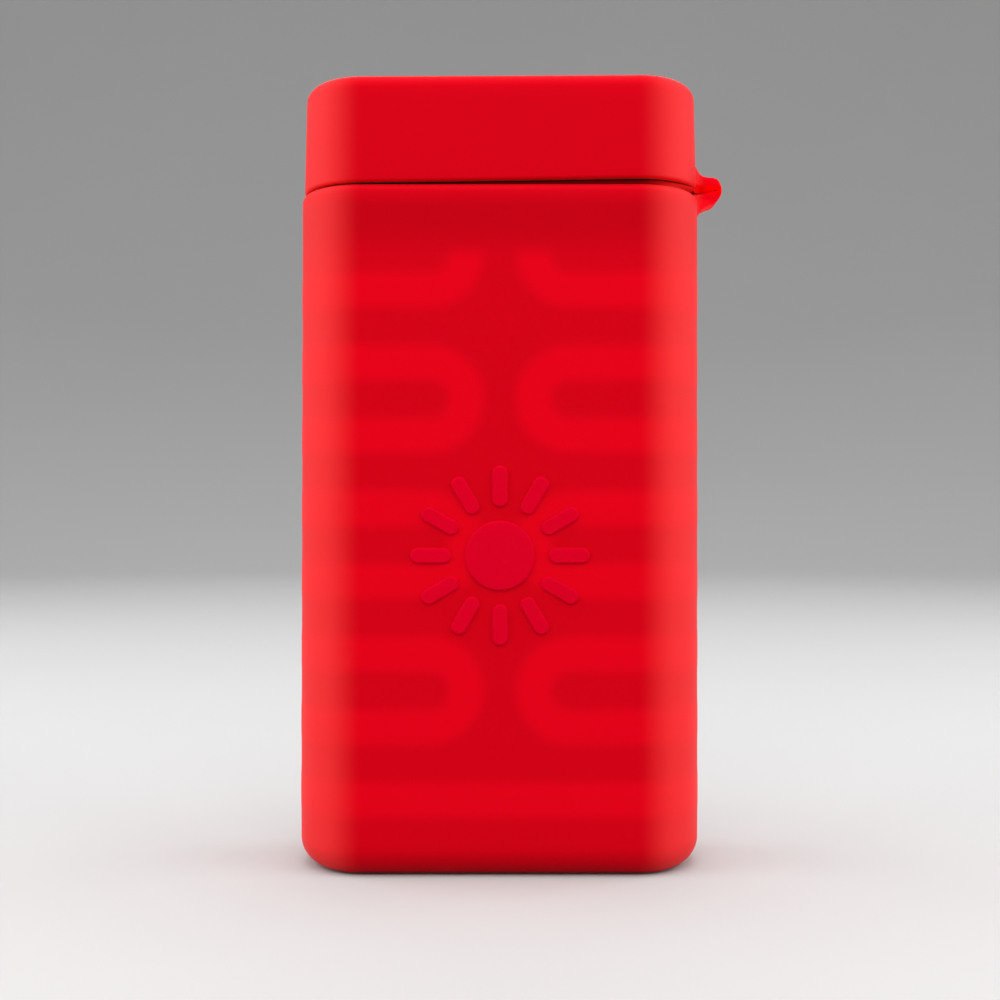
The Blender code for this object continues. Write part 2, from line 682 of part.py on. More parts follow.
def add_base_cap(build, look):
    base = build.part(
        "base_cap",
        outline_block(
            INSET_SHELL_OUTER, WARMER_BOTTOM, BASE_CAP_TOP, INNER_STEPS, bottom_round=BASE_CAP_ROUND,
            round_steps=SMALL_STEPS,
        ),
        look,
    )
    build.join(
        base, "base_spigot",
        outline_block(INSET_SPIGOT, BASE_CAP_TOP - SPIGOT_WALL, BASE_SPIGOT_TOP, INNER_STEPS),
    )
    build.cut(
        base, "base_hollow",
        outline_block(
            INSET_CAVITY, WARMER_BOTTOM + BASE_CAP_FLOOR, BASE_SPIGOT_TOP + OVERRUN, INNER_STEPS
        ),
    )
    for side, word in ((-1, "left"), (1, "right")):
        x = side * SCREW_X
        low, high = WARMER_BOTTOM - OVERRUN, WARMER_BOTTOM + BASE_CAP_FLOOR + OVERRUN
        build.cut(
            base, f"base_screw_hole_{word}",
            cylinder_mesh(SCREW_RADIUS + SCREW_FIT, (x, 0, low), (x, 0, high), SMALL_ROUND_SIDES),
        )
        seat = WARMER_BOTTOM + SCREW_HEAD_HEIGHT
        build.cut(
            base, f"base_screw_seat_{word}",
            cylinder_mesh(SCREW_HEAD_RADIUS + SCREW_FIT, (x, 0, low), (x, 0, seat), SMALL_ROUND_SIDES),
        )
    return base


def screw_mesh(head, direction, length):
    """A small pan head screw. head is the middle of its top face, direction points down its shank."""
    head, direction = Vector(head), Vector(direction).normalized()
    under = head + direction * SCREW_HEAD_HEIGHT
    turned = cylinder_mesh(SCREW_HEAD_RADIUS, head, under, SMALL_ROUND_SIDES, SCREW_HEAD_HEIGHT / 4)
    shank = cylinder_mesh(
        SCREW_RADIUS, under - direction * SCREW_HEAD_HEIGHT / 2, under + direction * length, SMALL_ROUND_SIDES
    )
    return turned, shank


def add_screw(build, name, head, direction, length, look):
    turned, shank = screw_mesh(head, direction, length)
    screw = build.part(name, turned, look)
    build.join(screw, f"{name}_shank", shank)
    head, direction = Vector(head), Vector(direction).normalized()
    across = direction.orthogonal().normalized()
    for i, along in enumerate((across, direction.cross(across))):
        other = direction.cross(along)
        reach = (
            along * SCREW_SLOT_LENGTH / 2 + other * SCREW_SLOT_WIDTH / 2 + direction * SCREW_SLOT_DEPTH
        )
        reach = Vector([abs(c) for c in reach])
        build.cut(screw, f"{name}_slot_{i + 1}", box_mesh(head - reach, head + reach))
    return screw


def add_sockets(build, steel, insulator):
    """Both sockets: a folded steel shell that is open at the top, round a moulded tongue."""
    top = PANEL_TOP - PORT_RECESS
    half_width, half_depth = USB_A_WIDTH / 2, USB_A_THICKNESS / 2
    wall = PORT_SHELL_WALL
    shell = build.part(
        "usb_a_shell",
        box_mesh(
            (USB_A_X - half_width, -half_depth, top - USB_A_DEPTH), (USB_A_X + half_width, half_depth, top),
            USB_A_CORNER, along=2,
        ),
        steel,
    )
    build.cut(
        shell, "usb_a_hollow",
        box_mesh(
            (USB_A_X - half_width + wall, -half_depth + wall, top - USB_A_DEPTH + wall),
            (USB_A_X + half_width - wall, half_depth - wall, top + OVERRUN),
            USB_A_CORNER - wall, along=2,
        ),
    )
    inner = half_depth - wall - TONGUE_SIDE_GAP
    block_low = top - USB_A_DEPTH + wall + TONGUE_SIDE_GAP
    block_high = block_low + USB_A_BLOCK_DEPTH
    block_half = half_width - wall - TONGUE_SIDE_GAP
    tongue = build.part(
        "usb_a_tongue",
        box_mesh((USB_A_X - block_half, -inner, block_low), (USB_A_X + block_half, inner, block_high)),
        insulator,
    )
    half = USB_A_TONGUE_WIDTH / 2
    build.join(
        tongue, "usb_a_tongue_blade",
        box_mesh(
            (USB_A_X - half, inner - USB_A_TONGUE_THICKNESS, block_high - USB_A_BLOCK_DEPTH / 2),
            (USB_A_X + half, inner - TONGUE_SIDE_GAP, top - TONGUE_SET_BACK),
        ),
    )
    low = top - USB_C_DEPTH
    shell = build.part(
        "usb_c_shell", stadium_mesh(USB_C_WIDTH, USB_C_THICKNESS, USB_C_X, USB_C_Y, low, top), steel
    )
    build.cut(
        shell, "usb_c_hollow",
        stadium_mesh(
            USB_C_WIDTH - 2 * wall, USB_C_THICKNESS - 2 * wall, USB_C_X, USB_C_Y, low + wall, top + OVERRUN
        ),
    )
    block_low = low + wall + TONGUE_SIDE_GAP
    block_high = block_low + USB_C_BLOCK_DEPTH
    narrowing = 2 * (wall + TONGUE_SIDE_GAP)
    tongue = build.part(
        "usb_c_tongue",
        stadium_mesh(
            USB_C_WIDTH - narrowing, USB_C_THICKNESS - narrowing, USB_C_X, USB_C_Y, block_low, block_high
        ),
        insulator,
    )
    half, thick = USB_C_TONGUE_WIDTH / 2, USB_C_TONGUE_THICKNESS / 2
    build.join(
        tongue, "usb_c_tongue_blade",
        box_mesh(
            (USB_C_X - half, USB_C_Y - thick, block_high - USB_C_BLOCK_DEPTH / 2),
            (USB_C_X + half, USB_C_Y + thick, top - TONGUE_SET_BACK),
        ),
    )


def turned_mesh(profile, x, y):
    """A solid turned about an upright axis. The profile runs down its outer side, from axis to axis."""
    bm = bmesh.new()
    points = [bm.verts.new((radius, 0, height)) for radius, height in profile]
    edges = [bm.edges.new(pair) for pair in zip(points, points[1:])]
    bmesh.ops.spin(
        bm, geom=points + edges, cent=(0, 0, 0), axis=(0, 0, 1), angle=2 * math.pi, steps=ROUND_SIDES,
        use_merge=True, use_duplicate=False,
    )
    bmesh.ops.remove_doubles(bm, verts=bm.verts, dist=WELD)
    bmesh.ops.translate(bm, vec=(x, y, 0), verts=bm.verts)
    return finish_mesh(bm)


def add_button(build, look, switch_look, plunger_look):
    """The button turns about its own axis in outline: a dished crown, a flange under the panel and a stem."""
    crown = PANEL_TOP + BUTTON_RISE
    plunger_top = SWITCH_TOP + PLUNGER_RISE
    profile = [(0, crown - BUTTON_DISH_DEPTH)]
    profile.append((BUTTON_RADIUS - 3 * BUTTON_ROUND, crown - BUTTON_DISH_DEPTH / 4))
    profile += reversed(
        arc((BUTTON_RADIUS - BUTTON_ROUND, crown - BUTTON_ROUND), BUTTON_ROUND, 0, 90, SMALL_STEPS)
    )
    flange = BUTTON_RADIUS + BUTTON_FLANGE
    profile += [(BUTTON_RADIUS, FLANGE_TOP), (flange, FLANGE_TOP), (flange, FLANGE_BOTTOM)]
    profile += [(BUTTON_STEM_RADIUS, FLANGE_BOTTOM), (BUTTON_STEM_RADIUS, plunger_top + STEM_GAP)]
    profile.append((0, plunger_top + STEM_GAP))
    button = build.part("power_button", turned_mesh(profile, BUTTON_X, 0), look)
    set_origin(button, (BUTTON_X, 0, PANEL_TOP))
    half, depth = SWITCH_WIDTH / 2, BOARD_FRONT - MOUNT_GAP
    switch = build.part(
        "button_switch",
        box_mesh((BUTTON_X - half, -depth, SWITCH_TOP - SWITCH_HEIGHT), (BUTTON_X + half, depth, SWITCH_TOP)),
        switch_look,
    )
    hole_bottom = SWITCH_TOP - 2 * BUTTON_TRAVEL - PLUNGER_RISE
    build.cut(
        switch, "plunger_hole",
        cylinder_mesh(
            PLUNGER_RADIUS + PORT_FIT, (BUTTON_X, 0, hole_bottom), (BUTTON_X, 0, SWITCH_TOP + OVERRUN),
            SMALL_ROUND_SIDES,
        ),
    )
    low = hole_bottom + BUTTON_TRAVEL + PORT_FIT
    plunger = build.part(
        "switch_plunger",
        cylinder_mesh(PLUNGER_RADIUS, (BUTTON_X, 0, low), (BUTTON_X, 0, plunger_top), SMALL_ROUND_SIDES),
        plunger_look,
    )
    set_origin(plunger, (BUTTON_X, 0, plunger_top))


def add_lights(build, guide_look, led_look):
    """A clear comb that carries four lights from the board up to the windows."""
    half_width, half_length = WINDOW_WIDTH / 2, WINDOW_LENGTH / 2
    bar_back = BOARD_FRONT - 2 * MOUNT_GAP
    guide = build.part(
        "light_guide",
        box_mesh(
            (WINDOW_XS[0] - half_width, -half_length, GUIDE_BOTTOM),
            (WINDOW_XS[-1] + half_width, bar_back, GUIDE_BOTTOM + GUIDE_BAR_THICKNESS),
        ),
        guide_look,
    )
    for i, x in enumerate(WINDOW_XS):
        # Each outer finger is a hair narrower than the bar, so that no two faces coincide
        slim = half_width - WELD
        build.join(
            guide, f"guide_finger_{i + 1}",
            box_mesh(
                (x - slim, -half_length + WELD, GUIDE_BOTTOM + GUIDE_BAR_THICKNESS / 2),
                (x + slim, half_length, PANEL_TOP),
            ),
        )
        led_top = GUIDE_BOTTOM - LED_GAP
        build.part(
            f"indicator_led_{i + 1}",
            box_mesh(
                (x - half_width, BOARD_FRONT - MOUNT_GAP - LED_THICKNESS, led_top - LED_HEIGHT),
                (x + half_width, BOARD_FRONT - MOUNT_GAP, led_top),
            ),
            led_look,
        )


def add_cells(build, wrap, nickel):
    """Two cylindrical cells side by side, joined top and bottom by welded nickel links."""
    radius = CELL_DIAMETER / 2
    button_top = CELL_TOP
    shoulder = CELL_TOP - CELL_EDGE_ROUND
    profile = [(0, button_top), (CELL_BUTTON_RADIUS, button_top), (CELL_BUTTON_RADIUS, shoulder)]
    profile += [(radius - CELL_EDGE_ROUND, shoulder), (radius, shoulder - CELL_EDGE_ROUND)]
    profile += [(radius, CELL_BOTTOM + CELL_EDGE_ROUND), (radius - CELL_EDGE_ROUND, CELL_BOTTOM)]
    profile.append((0, CELL_BOTTOM))
    for side, word in ((-1, "left"), (1, "right")):
        build.part(f"battery_cell_{word}", turned_mesh(profile, side * CELL_X, 0), wrap)
    reach = CELL_X + LINK_OVERLAP
    for word, low in (
        ("top", CELL_TOP + MOUNT_GAP),
        ("bottom", CELL_BOTTOM - MOUNT_GAP - LINK_THICKNESS),
    ):
        build.part(
            f"cell_link_{word}",
            box_mesh((-reach, -LINK_WIDTH / 2, low), (reach, LINK_WIDTH / 2, low + LINK_THICKNESS)),
            nickel,
        )


def add_tray(build, look):
    """A frame round both cells. Its foot takes the base screws and its two tabs carry the board."""
    tray = build.part(
        "battery_tray",
        box_mesh(
            (-TRAY_OUTER_X, -TRAY_HALF_DEPTH, TRAY_BOTTOM), (TRAY_OUTER_X, TRAY_HALF_DEPTH, TRAY_TOP)
        ),
        look,
    )
    depth = TRAY_HALF_DEPTH + OVERRUN
    build.cut(
        tray, "tray_window",
        box_mesh(
            (-TRAY_INNER_X, -depth, TRAY_BOTTOM + TRAY_FOOT), (TRAY_INNER_X, depth, TRAY_BAR_BOTTOM)
        ),
    )
    tab_front = BOARD_BACK + MOUNT_GAP
    for side, word in ((-1, "left"), (1, "right")):
        x = side * TAB_X
        half = TAB_WIDTH / 2
        build.join(
            tray, f"tray_tab_{word}",
            box_mesh(
                (x - half + WELD, tab_front, TRAY_TOP - TRAY_WALL / 2),
                (x + half - WELD, tab_front + TAB_THICKNESS, TRAY_TOP + TAB_HEIGHT),
            ),
        )
        build.cut(
            tray, f"tray_board_screw_hole_{word}",
            cylinder_mesh(
                SCREW_RADIUS + SCREW_FIT, (x, tab_front - OVERRUN, TAB_SCREW_HEIGHT),
                (x, tab_front + TAB_THICKNESS + OVERRUN, TAB_SCREW_HEIGHT), SMALL_ROUND_SIDES,
            ),
        )
        screw_end = WARMER_BOTTOM + SCREW_HEAD_HEIGHT + SCREW_LENGTH + SCREW_FIT
        build.cut(
            tray, f"tray_base_screw_hole_{word}",
            cylinder_mesh(
                SCREW_RADIUS + SCREW_FIT, (side * SCREW_X, 0, TRAY_BOTTOM - OVERRUN),
                (side * SCREW_X, 0, screw_end), SMALL_ROUND_SIDES,
            ),
        )
    return tray


def add_board(build, board_look, chip_look, coil_look, can_look):
    board = build.part(
        "main_board",
        box_mesh(
            (-BOARD_HALF_WIDTH, BOARD_FRONT, BOARD_BOTTOM), (BOARD_HALF_WIDTH, BOARD_BACK, BOARD_TOP),
            BOARD_CORNER, along=1,
        ),
        board_look,
    )
    for side, word in ((-1, "left"), (1, "right")):
        x = side * TAB_X
        build.cut(
            board, f"board_hole_{word}",
            cylinder_mesh(
                SCREW_RADIUS + SCREW_FIT, (x, BOARD_FRONT - OVERRUN, TAB_SCREW_HEIGHT),
                (x, BOARD_BACK + OVERRUN, TAB_SCREW_HEIGHT), SMALL_ROUND_SIDES,
            ),
        )
    socket_bottom = PANEL_TOP - PORT_RECESS - USB_A_DEPTH
    middle = (BOARD_BOTTOM + socket_bottom) / 2
    face = BOARD_FRONT - MOUNT_GAP
    build.part(
        "charge_chip",
        box_mesh(
            (CHIP_X - CHIP_SIZE / 2, face - CHIP_THICKNESS, middle - CHIP_SIZE / 2),
            (CHIP_X + CHIP_SIZE / 2, face, middle + CHIP_SIZE / 2),
        ),
        chip_look,
    )
    build.part(
        "boost_coil",
        box_mesh(
            (COIL_X - COIL_SIZE / 2, face - COIL_THICKNESS, middle - COIL_SIZE / 2),
            (COIL_X + COIL_SIZE / 2, face, middle + COIL_SIZE / 2),
            BOARD_CORNER, along=1,
        ),
        coil_look,
    )
    build.part(
        "smoothing_capacitor",
        cylinder_mesh(
            CAPACITOR_RADIUS, (CAPACITOR_X, face - CAPACITOR_LENGTH, middle), (CAPACITOR_X, face, middle),
            SMALL_ROUND_SIDES, CAPACITOR_RADIUS / 5,
        ),
        can_look,
    )


def add_heaters(build, film_look, pad_look, sensor_look):
    """A heating film against each shell, with an insulating pad between it and the cells."""
    low = BASE_SPIGOT_TOP + HEATER_END_MARGIN
    high = SKIRT_BOTTOM - SPIGOT_LENGTH - HEATER_END_MARGIN
    half = HEATER_WIDTH / 2
    pad_outer = CELL_DIAMETER / 2 + CELL_CLEARANCE + PAD_THICKNESS
    for side, word in ((-1, "front"), (1, "rear")):
        layers = (
            (f"{word}_heating_film", HEATER_OUTER - HEATER_THICKNESS, HEATER_OUTER, 0, high, film_look),
            (
                f"{word}_insulating_pad", pad_outer - PAD_THICKNESS, pad_outer, PAD_INSET,
                high - 2 * SENSOR_LENGTH - SEAM_GAP, pad_look,
            ),
        )
        for name, near, far, inset, top, look in layers:
            ys = sorted((side * near, side * far))
            build.part(
                name,
                box_mesh(
                    (-half + inset, ys[0], low + inset), (half - inset, ys[1], top), HEATER_CORNER, along=1
                ),
                look,
            )
    film_inner = HEATER_OUTER - HEATER_THICKNESS
    y = -(film_inner - LAYER_GAP - SENSOR_RADIUS)
    z = high - SENSOR_LENGTH
    build.part(
        "temperature_sensor",
        cylinder_mesh(
            SENSOR_RADIUS, (SENSOR_X, y, z - SENSOR_LENGTH), (SENSOR_X, y, z), SMALL_ROUND_SIDES // 2,
            SENSOR_RADIUS / 3,
        ),
        sensor_look,
    )
    return high


def smooth_route(points, steps):
    """Points along a smooth curve through the given ones, each stretch a Bezier curve cut into steps. At a
    point it runs halfway between the stretches that meet there, with handles a third of the shorter one."""
    points = [Vector(p) for p in points]
    spans = [(b - a).length for a, b in zip(points, points[1:])]
    ways = [(b - a).normalized() for a, b in zip(points, points[1:])]
    turns = [ways[0]] + [(v + w).normalized() for v, w in zip(ways, ways[1:])] + [ways[-1]]
    reaches = [min(pair) / 3 for pair in zip(spans[:1] + spans, spans + spans[-1:])]
    handles = [turn * reach for turn, reach in zip(turns, reaches)]
    route = [points[0]]
    for a, b, out, back in zip(points, points[1:], handles, handles[1:]):
        route += interpolate_bezier(a, a + out, b - back, b, steps + 1)[1:]
    return route


def add_lead(build, name, points, radius, look, steps=4):
    curve = bpy.data.curves.new(name, "CURVE")
    curve.dimensions = "3D"
    curve.bevel_depth = radius
    curve.bevel_resolution = 1
    curve.use_fill_caps = True
    route = smooth_route(points, steps)
    spline = curve.splines.new("POLY")
    spline.points.add(len(route) - 1)
    for point, place in zip(spline.points, route):
        point.co = (*place, 1)
    build.part(name, curve_as_mesh(curve, Matrix.Identity(4)), look)


def add_leads(build, heater_top, red_look, black_look, white_look):
    """The wires inside, from the cells, the heating films and the sensor to the board."""
    face = BOARD_FRONT - MOUNT_GAP
    radius = POWER_LEAD_RADIUS
    front_y = -TRAY_HALF_DEPTH - 2 * radius
    link_end = LINK_WIDTH / 2 + MOUNT_GAP
    solder = face - radius - MOUNT_GAP
    top_link = CELL_TOP + MOUNT_GAP + LINK_THICKNESS / 2
    bottom_link = CELL_BOTTOM - MOUNT_GAP - LINK_THICKNESS / 2
    over_tray = TRAY_TOP + 3 * radius
    landing = over_tray + 4 * radius
    to_board = [(solder - 4 * radius, over_tray + radius), (solder, landing)]
    over_edge = TRAY_TOP + 2 * radius
    positive = [(-link_end, top_link), (front_y, top_link + 2 * radius), (front_y, over_edge)]
    negative = [(-link_end, bottom_link), (front_y, bottom_link + 2 * radius)]
    negative += [(front_y, (CELL_BOTTOM + CELL_TOP) / 2), (front_y, CELL_TOP), (front_y, over_edge)]
    add_lead(build, "positive_lead", [(-CELL_X, y, z) for y, z in positive + to_board], radius, red_look)
    add_lead(build, "negative_lead", [(0, y, z) for y, z in negative + to_board], radius, black_look)

    thin = HEATER_LEAD_RADIUS
    film = HEATER_OUTER - HEATER_THICKNESS - LAYER_GAP - thin
    past_spigot = SLEEVE_DEPTH / 2 - INSET_CAVITY - 3 * thin
    spigot_low = SKIRT_BOTTOM - SPIGOT_LENGTH
    front = [(-film, heater_top - SENSOR_LENGTH)]
    front += [(-past_spigot, spigot_low - thin), (-past_spigot, SKIRT_BOTTOM)]
    front += [(face - thin - MOUNT_GAP, SKIRT_BOTTOM + SPIGOT_LENGTH)]
    rear = [(-y, z) for y, z in front[:-1]]
    rear += [(BOARD_BACK + MOUNT_GAP + thin, SKIRT_BOTTOM + SPIGOT_LENGTH)]
    x = CAPACITOR_X + CAPACITOR_RADIUS + HEATER_LEAD_GAP
    add_lead(build, "front_heater_lead", [(x, y, z) for y, z in front], thin, white_look)
    add_lead(build, "rear_heater_lead", [(0, y, z) for y, z in rear], thin, white_look)

    hair = SENSOR_LEAD_RADIUS
    sensor_y = HEATER_OUTER - HEATER_THICKNESS - LAYER_GAP - SENSOR_RADIUS
    start = heater_top - SENSOR_LENGTH + MOUNT_GAP + hair
    sensor = [(-sensor_y, start), (-past_spigot, spigot_low - thin), (-past_spigot, SKIRT_BOTTOM)]
    sensor += [(face - hair - MOUNT_GAP, SKIRT_BOTTOM + SPIGOT_LENGTH)]
    add_lead(build, "sensor_lead", [(SENSOR_X, y, z) for y, z in sensor], hair, white_look)


def add_screws(build, look):
    for side, word in ((-1, "left"), (1, "right")):
        add_screw(
            build, f"base_screw_{word}", (side * SCREW_X, 0, WARMER_BOTTOM + MOUNT_GAP - SCREW_FIT),
            (0, 0, 1), SCREW_LENGTH, look,
        )
        add_screw(
            build, f"board_screw_{word}",
            (side * TAB_X, BOARD_FRONT - MOUNT_GAP - SCREW_HEAD_HEIGHT, TAB_SCREW_HEIGHT),
            (0, 1, 0), BOARD_SCREW_LENGTH, look,
        )


def main():
    clear_scene()
    build = Builder()
    silicone = material("red_silicone", RED_SILICONE, 0.55)
    plastic = material("black_plastic", BLACK_PLASTIC, 0.45)
    alloy = material("silver_alloy", SILVER_ALLOY, 0.35, 1.0)
    steel = material("plated_steel", STEEL, 0.25, 1.0)
    nickel = material("nickel", (0.70, 0.68, 0.62), 0.30, 1.0)
    frame = material("white_plastic", (0.80, 0.80, 0.78), 0.50)
    clear = material("clear_plastic", (0.85, 0.87, 0.90), 0.15)
    led = material("led_body", (0.90, 0.88, 0.75), 0.40)
    wrap = material("cell_wrap", (0.05, 0.20, 0.45), 0.35)
    board = material("green_board", (0.02, 0.14, 0.05), 0.40)
    ferrite = material("ferrite", (0.10, 0.10, 0.11), 0.60)
    film = material("amber_film", (0.60, 0.25, 0.03), 0.30)
    felt = material("grey_felt", (0.45, 0.45, 0.44), 0.90)
    red_wire = material("red_wire", (0.55, 0.02, 0.02), 0.45)
    black_wire = material("black_wire", (0.02, 0.02, 0.02), 0.45)
    white_wire = material("white_wire", (0.75, 0.75, 0.72), 0.45)
    add_sleeve(build, silicone)
    add_cap(build, silicone)
    add_shell(build, "front_shell", True, alloy)
    add_shell(build, "rear_shell", False, alloy)
    add_port_housing(build, plastic)
    add_base_cap(build, plastic)
    add_sockets(build, steel, plastic)
    add_button(build, plastic, plastic, frame)
    add_lights(build, clear, led)
    add_cells(build, wrap, nickel)
    add_tray(build, frame)
    add_board(build, board, plastic, ferrite, steel)
    heater_top = add_heaters(build, film, felt, plastic)
    add_leads(build, heater_top, red_wire, black_wire, white_wire)
    add_screws(build, steel)


main()
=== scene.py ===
"""The looks of a rechargeable hand warmer in a red silicone sleeve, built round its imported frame.

Metres, +Z up, front towards -Y. Every level section of the sleeve and the cap is one outline, set in by
some inset: straight faces front and back, and sides rounded as quarter ellipses round a narrow flat.
"""

import json
import math

import bmesh
import bpy
import numpy as np
from bpy.props import FloatProperty, FloatVectorProperty, PointerProperty
from bpy.types import Operator, Panel, PropertyGroup
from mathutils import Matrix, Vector


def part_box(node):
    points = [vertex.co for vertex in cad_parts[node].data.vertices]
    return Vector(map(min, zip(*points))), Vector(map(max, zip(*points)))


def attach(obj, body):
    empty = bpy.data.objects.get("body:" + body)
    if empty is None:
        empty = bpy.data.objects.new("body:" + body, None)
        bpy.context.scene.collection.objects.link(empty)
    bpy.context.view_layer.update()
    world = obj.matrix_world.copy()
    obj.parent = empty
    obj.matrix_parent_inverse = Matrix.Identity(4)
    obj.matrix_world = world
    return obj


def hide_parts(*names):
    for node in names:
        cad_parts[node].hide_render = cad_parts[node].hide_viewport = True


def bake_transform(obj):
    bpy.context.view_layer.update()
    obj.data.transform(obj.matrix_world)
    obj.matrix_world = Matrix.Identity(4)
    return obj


bl_info = {
    "name": "Hand Warmer Looks",
    "version": (1, 0, 0),
    "blender": (4, 5, 0),
    "location": "View3D > Sidebar > Hand Warmer",
    "description": "Builds the silicone sleeve, cap, hinge and finishes of a rechargeable hand warmer",
    "category": "Object",
}

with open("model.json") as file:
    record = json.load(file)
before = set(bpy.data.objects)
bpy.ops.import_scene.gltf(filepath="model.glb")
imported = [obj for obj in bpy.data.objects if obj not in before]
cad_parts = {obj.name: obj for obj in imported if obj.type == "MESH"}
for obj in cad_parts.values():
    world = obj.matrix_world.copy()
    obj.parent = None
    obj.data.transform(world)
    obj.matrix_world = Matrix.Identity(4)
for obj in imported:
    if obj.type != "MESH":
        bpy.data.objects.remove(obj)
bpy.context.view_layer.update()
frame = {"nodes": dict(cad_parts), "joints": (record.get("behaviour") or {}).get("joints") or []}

MM = 0.001

# The sleeve's box is wider on the right, and higher than its rim, because it holds the hinge's lower leg
SLEEVE_LOW, SLEEVE_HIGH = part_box("silicone_sleeve")
CAP_LOW, CAP_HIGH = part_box("silicone_cap")
HALF_WIDTH = -SLEEVE_LOW.x
HALF_DEPTH = SLEEVE_HIGH.y
RIM_HEIGHT = CAP_LOW.z - 0.32 * MM
CAP_MOUTH = CAP_LOW.z + 0.25 * MM
HINGE_JOINT = next(joint for joint in frame["joints"] if joint["name"] == "cap_hinge")
HINGE_AXIS = Vector(HINGE_JOINT["pos_m"])

# Ribs of the heating shells, which show through the sleeve
RIB_PITCH = 10.21 * MM
RIB_HALF_WIDTH = 2.55 * MM
FIRST_RIB = 10.9 * MM
RIB_TOP = 88.2 * MM
SPINE_HALF_GAP = 2.2 * MM
BEND_CENTRE = SPINE_HALF_GAP + (RIB_PITCH / 2 + RIB_HALF_WIDTH)

# Roughness, relief and grain of the housing's moulded plastic
HOUSING_TEXTURE = (0.50, 0.016 * MM, 4.0)

# Columns of the surfaces that follow the common outline: half a face, a corner and half a side flat
FACE_COLUMNS = 40
CORNER_COLUMNS = 36
SIDE_COLUMNS = 2


def span(name, description, millimetres):
    """A length that a user can change, with its default in millimetres."""
    return FloatProperty(name=name, description=description, default=millimetres * MM, unit="LENGTH")


def tint(name, description, value):
    """A colour that a user can change."""
    return FloatVectorProperty(
        name=name, description=description, subtype="COLOR", default=value, min=0.0, max=1.0
    )


def watts(name, description, value):
    """A lamp's power that a user can change."""
    return FloatProperty(name=name, description=description, default=value, unit="POWER")


class HandWarmerSizes(PropertyGroup):
    side_round: span("Side round", "How far the rounded sides reach in across the width", 9.3)
    side_flat: span("Side flat", "Half the width of the flat down each side", 1.0)
    seal_height: span("Seal height", "Height of the bead inside the rim that closes the seam", 0.4)
    wall: span("Wall", "Thickness of the silicone", 1.8)
    base_round: span("Base round", "Radius round the bottom of the sleeve", 4.0)
    lip_round: span("Lip round", "Radius round the sleeve's rim", 1.1)
    cap_round: span("Cap round", "Radius round the top of the cap", 1.9)
    cap_inset: span("Cap inset", "How far the cap's mouth lies inside the sleeve's outline", 0.27)
    cap_shift: span("Cap shift", "How far the cap sits towards its hinge", 0.07)
    cap_draft: span("Cap draft", "How far the cap's walls lean in towards its top", 0.3)
    cap_lift: span("Cap lift", "How much higher the cap's mouth is at its hinge than in its middle", 0.45)
    rib_press: span("Rib press", "How far the ribs inside push the sleeve out", 0.05)
    spread: span("Spread", "How far the sleeve's left side stands out at its foot", 0.2)
    slackness: span("Slackness", "Height of the slow waves in the silicone", 0.02)
    sun_relief: span("Sun relief", "Height of the raised sun", 0.4)
    sun_centre: span("Sun centre", "Height of the sun's middle above the base", 45.2)
    head_inset: span("Head inset", "How far the housing's head lies inside the sleeve's outline", 3.06)
    hinge_half_width: span("Hinge half width", "Half the width of the folded band", 3.0)


class HandWarmerColours(PropertyGroup):
    silicone: tint("Silicone", "Red of the silicone where a rib lies behind it", (0.62, 0.0, 0.0075))
    silicone_shade: tint("Silicone shade", "Red of the silicone over a hollow", (0.52, 0.0, 0.006))
    emblem: tint("Emblem", "Red of the raised sun", (0.59, 0.0, 0.014))
    housing: tint("Housing", "Plastic of the port housing and the base cap", (0.022, 0.022, 0.024))
    shell: tint("Shell", "Blasted aluminium of the heating shells", (0.66, 0.66, 0.67))
    floor: tint("Floor", "Paper of the studio sweep", (0.47, 0.47, 0.47))


class HandWarmerStudio(PropertyGroup):
    lens: FloatProperty(
        name="Lens", description="Focal length of the camera in millimetres", default=61.45
    )
    camera_distance: span("Camera distance", "From the middle of the warmer to the camera", 253.0)
    camera_height: span("Camera height", "Height of the level camera above the floor", 53.0)
    front_light: watts("Front light", "Power of the soft light over the camera", 6.2)
    side_light: watts("Side light", "Power of each large soft light at the sides", 4.7)
    back_light: watts("Back light", "Power of the soft light behind", 3.0)
    top_light: watts("Top light", "Power of the soft light overhead", 3.1)
    ambient: FloatProperty(
        name="Ambient", description="Strength of the light from all round", default=0.57
    )


def outline_columns(sizes):
    """The common outline as two arrays, a middle and a direction for each column. A point of the outline
    set in by some inset is middle + direction * (side_round - inset, half_depth - side_flat - inset)."""
    face = np.linspace(0.0, 1.0, FACE_COLUMNS, endpoint=False)
    turn = np.linspace(0.0, 0.5 * np.pi, CORNER_COLUMNS, endpoint=False)
    side = np.linspace(0.0, 1.0, SIDE_COLUMNS, endpoint=False)
    run = HALF_WIDTH - sizes.side_round
    middle_x = np.concatenate((run * face, np.full(CORNER_COLUMNS + SIDE_COLUMNS, run)))
    middle_y = np.concatenate(
        (np.full(FACE_COLUMNS + CORNER_COLUMNS, -sizes.side_flat), sizes.side_flat * (side - 1.0))
    )
    way_x = np.concatenate((np.zeros(FACE_COLUMNS), np.sin(turn), np.ones(SIDE_COLUMNS)))
    way_y = np.concatenate((-np.ones(FACE_COLUMNS), -np.cos(turn), np.zeros(SIDE_COLUMNS)))
    # The quarter from the front's middle to the right side's middle, then the three others by mirroring it
    quarter = np.stack((middle_x, middle_y, way_x, way_y))
    end = np.array([[run], [0.0], [1.0], [0.0]])
    mirror = np.array([[1.0], [-1.0], [1.0], [-1.0]])
    half = np.concatenate((quarter, end, quarter[:, :0:-1] * mirror), axis=1)
    whole = np.concatenate((half, -half), axis=1)
    return whole[:2], whole[2:]


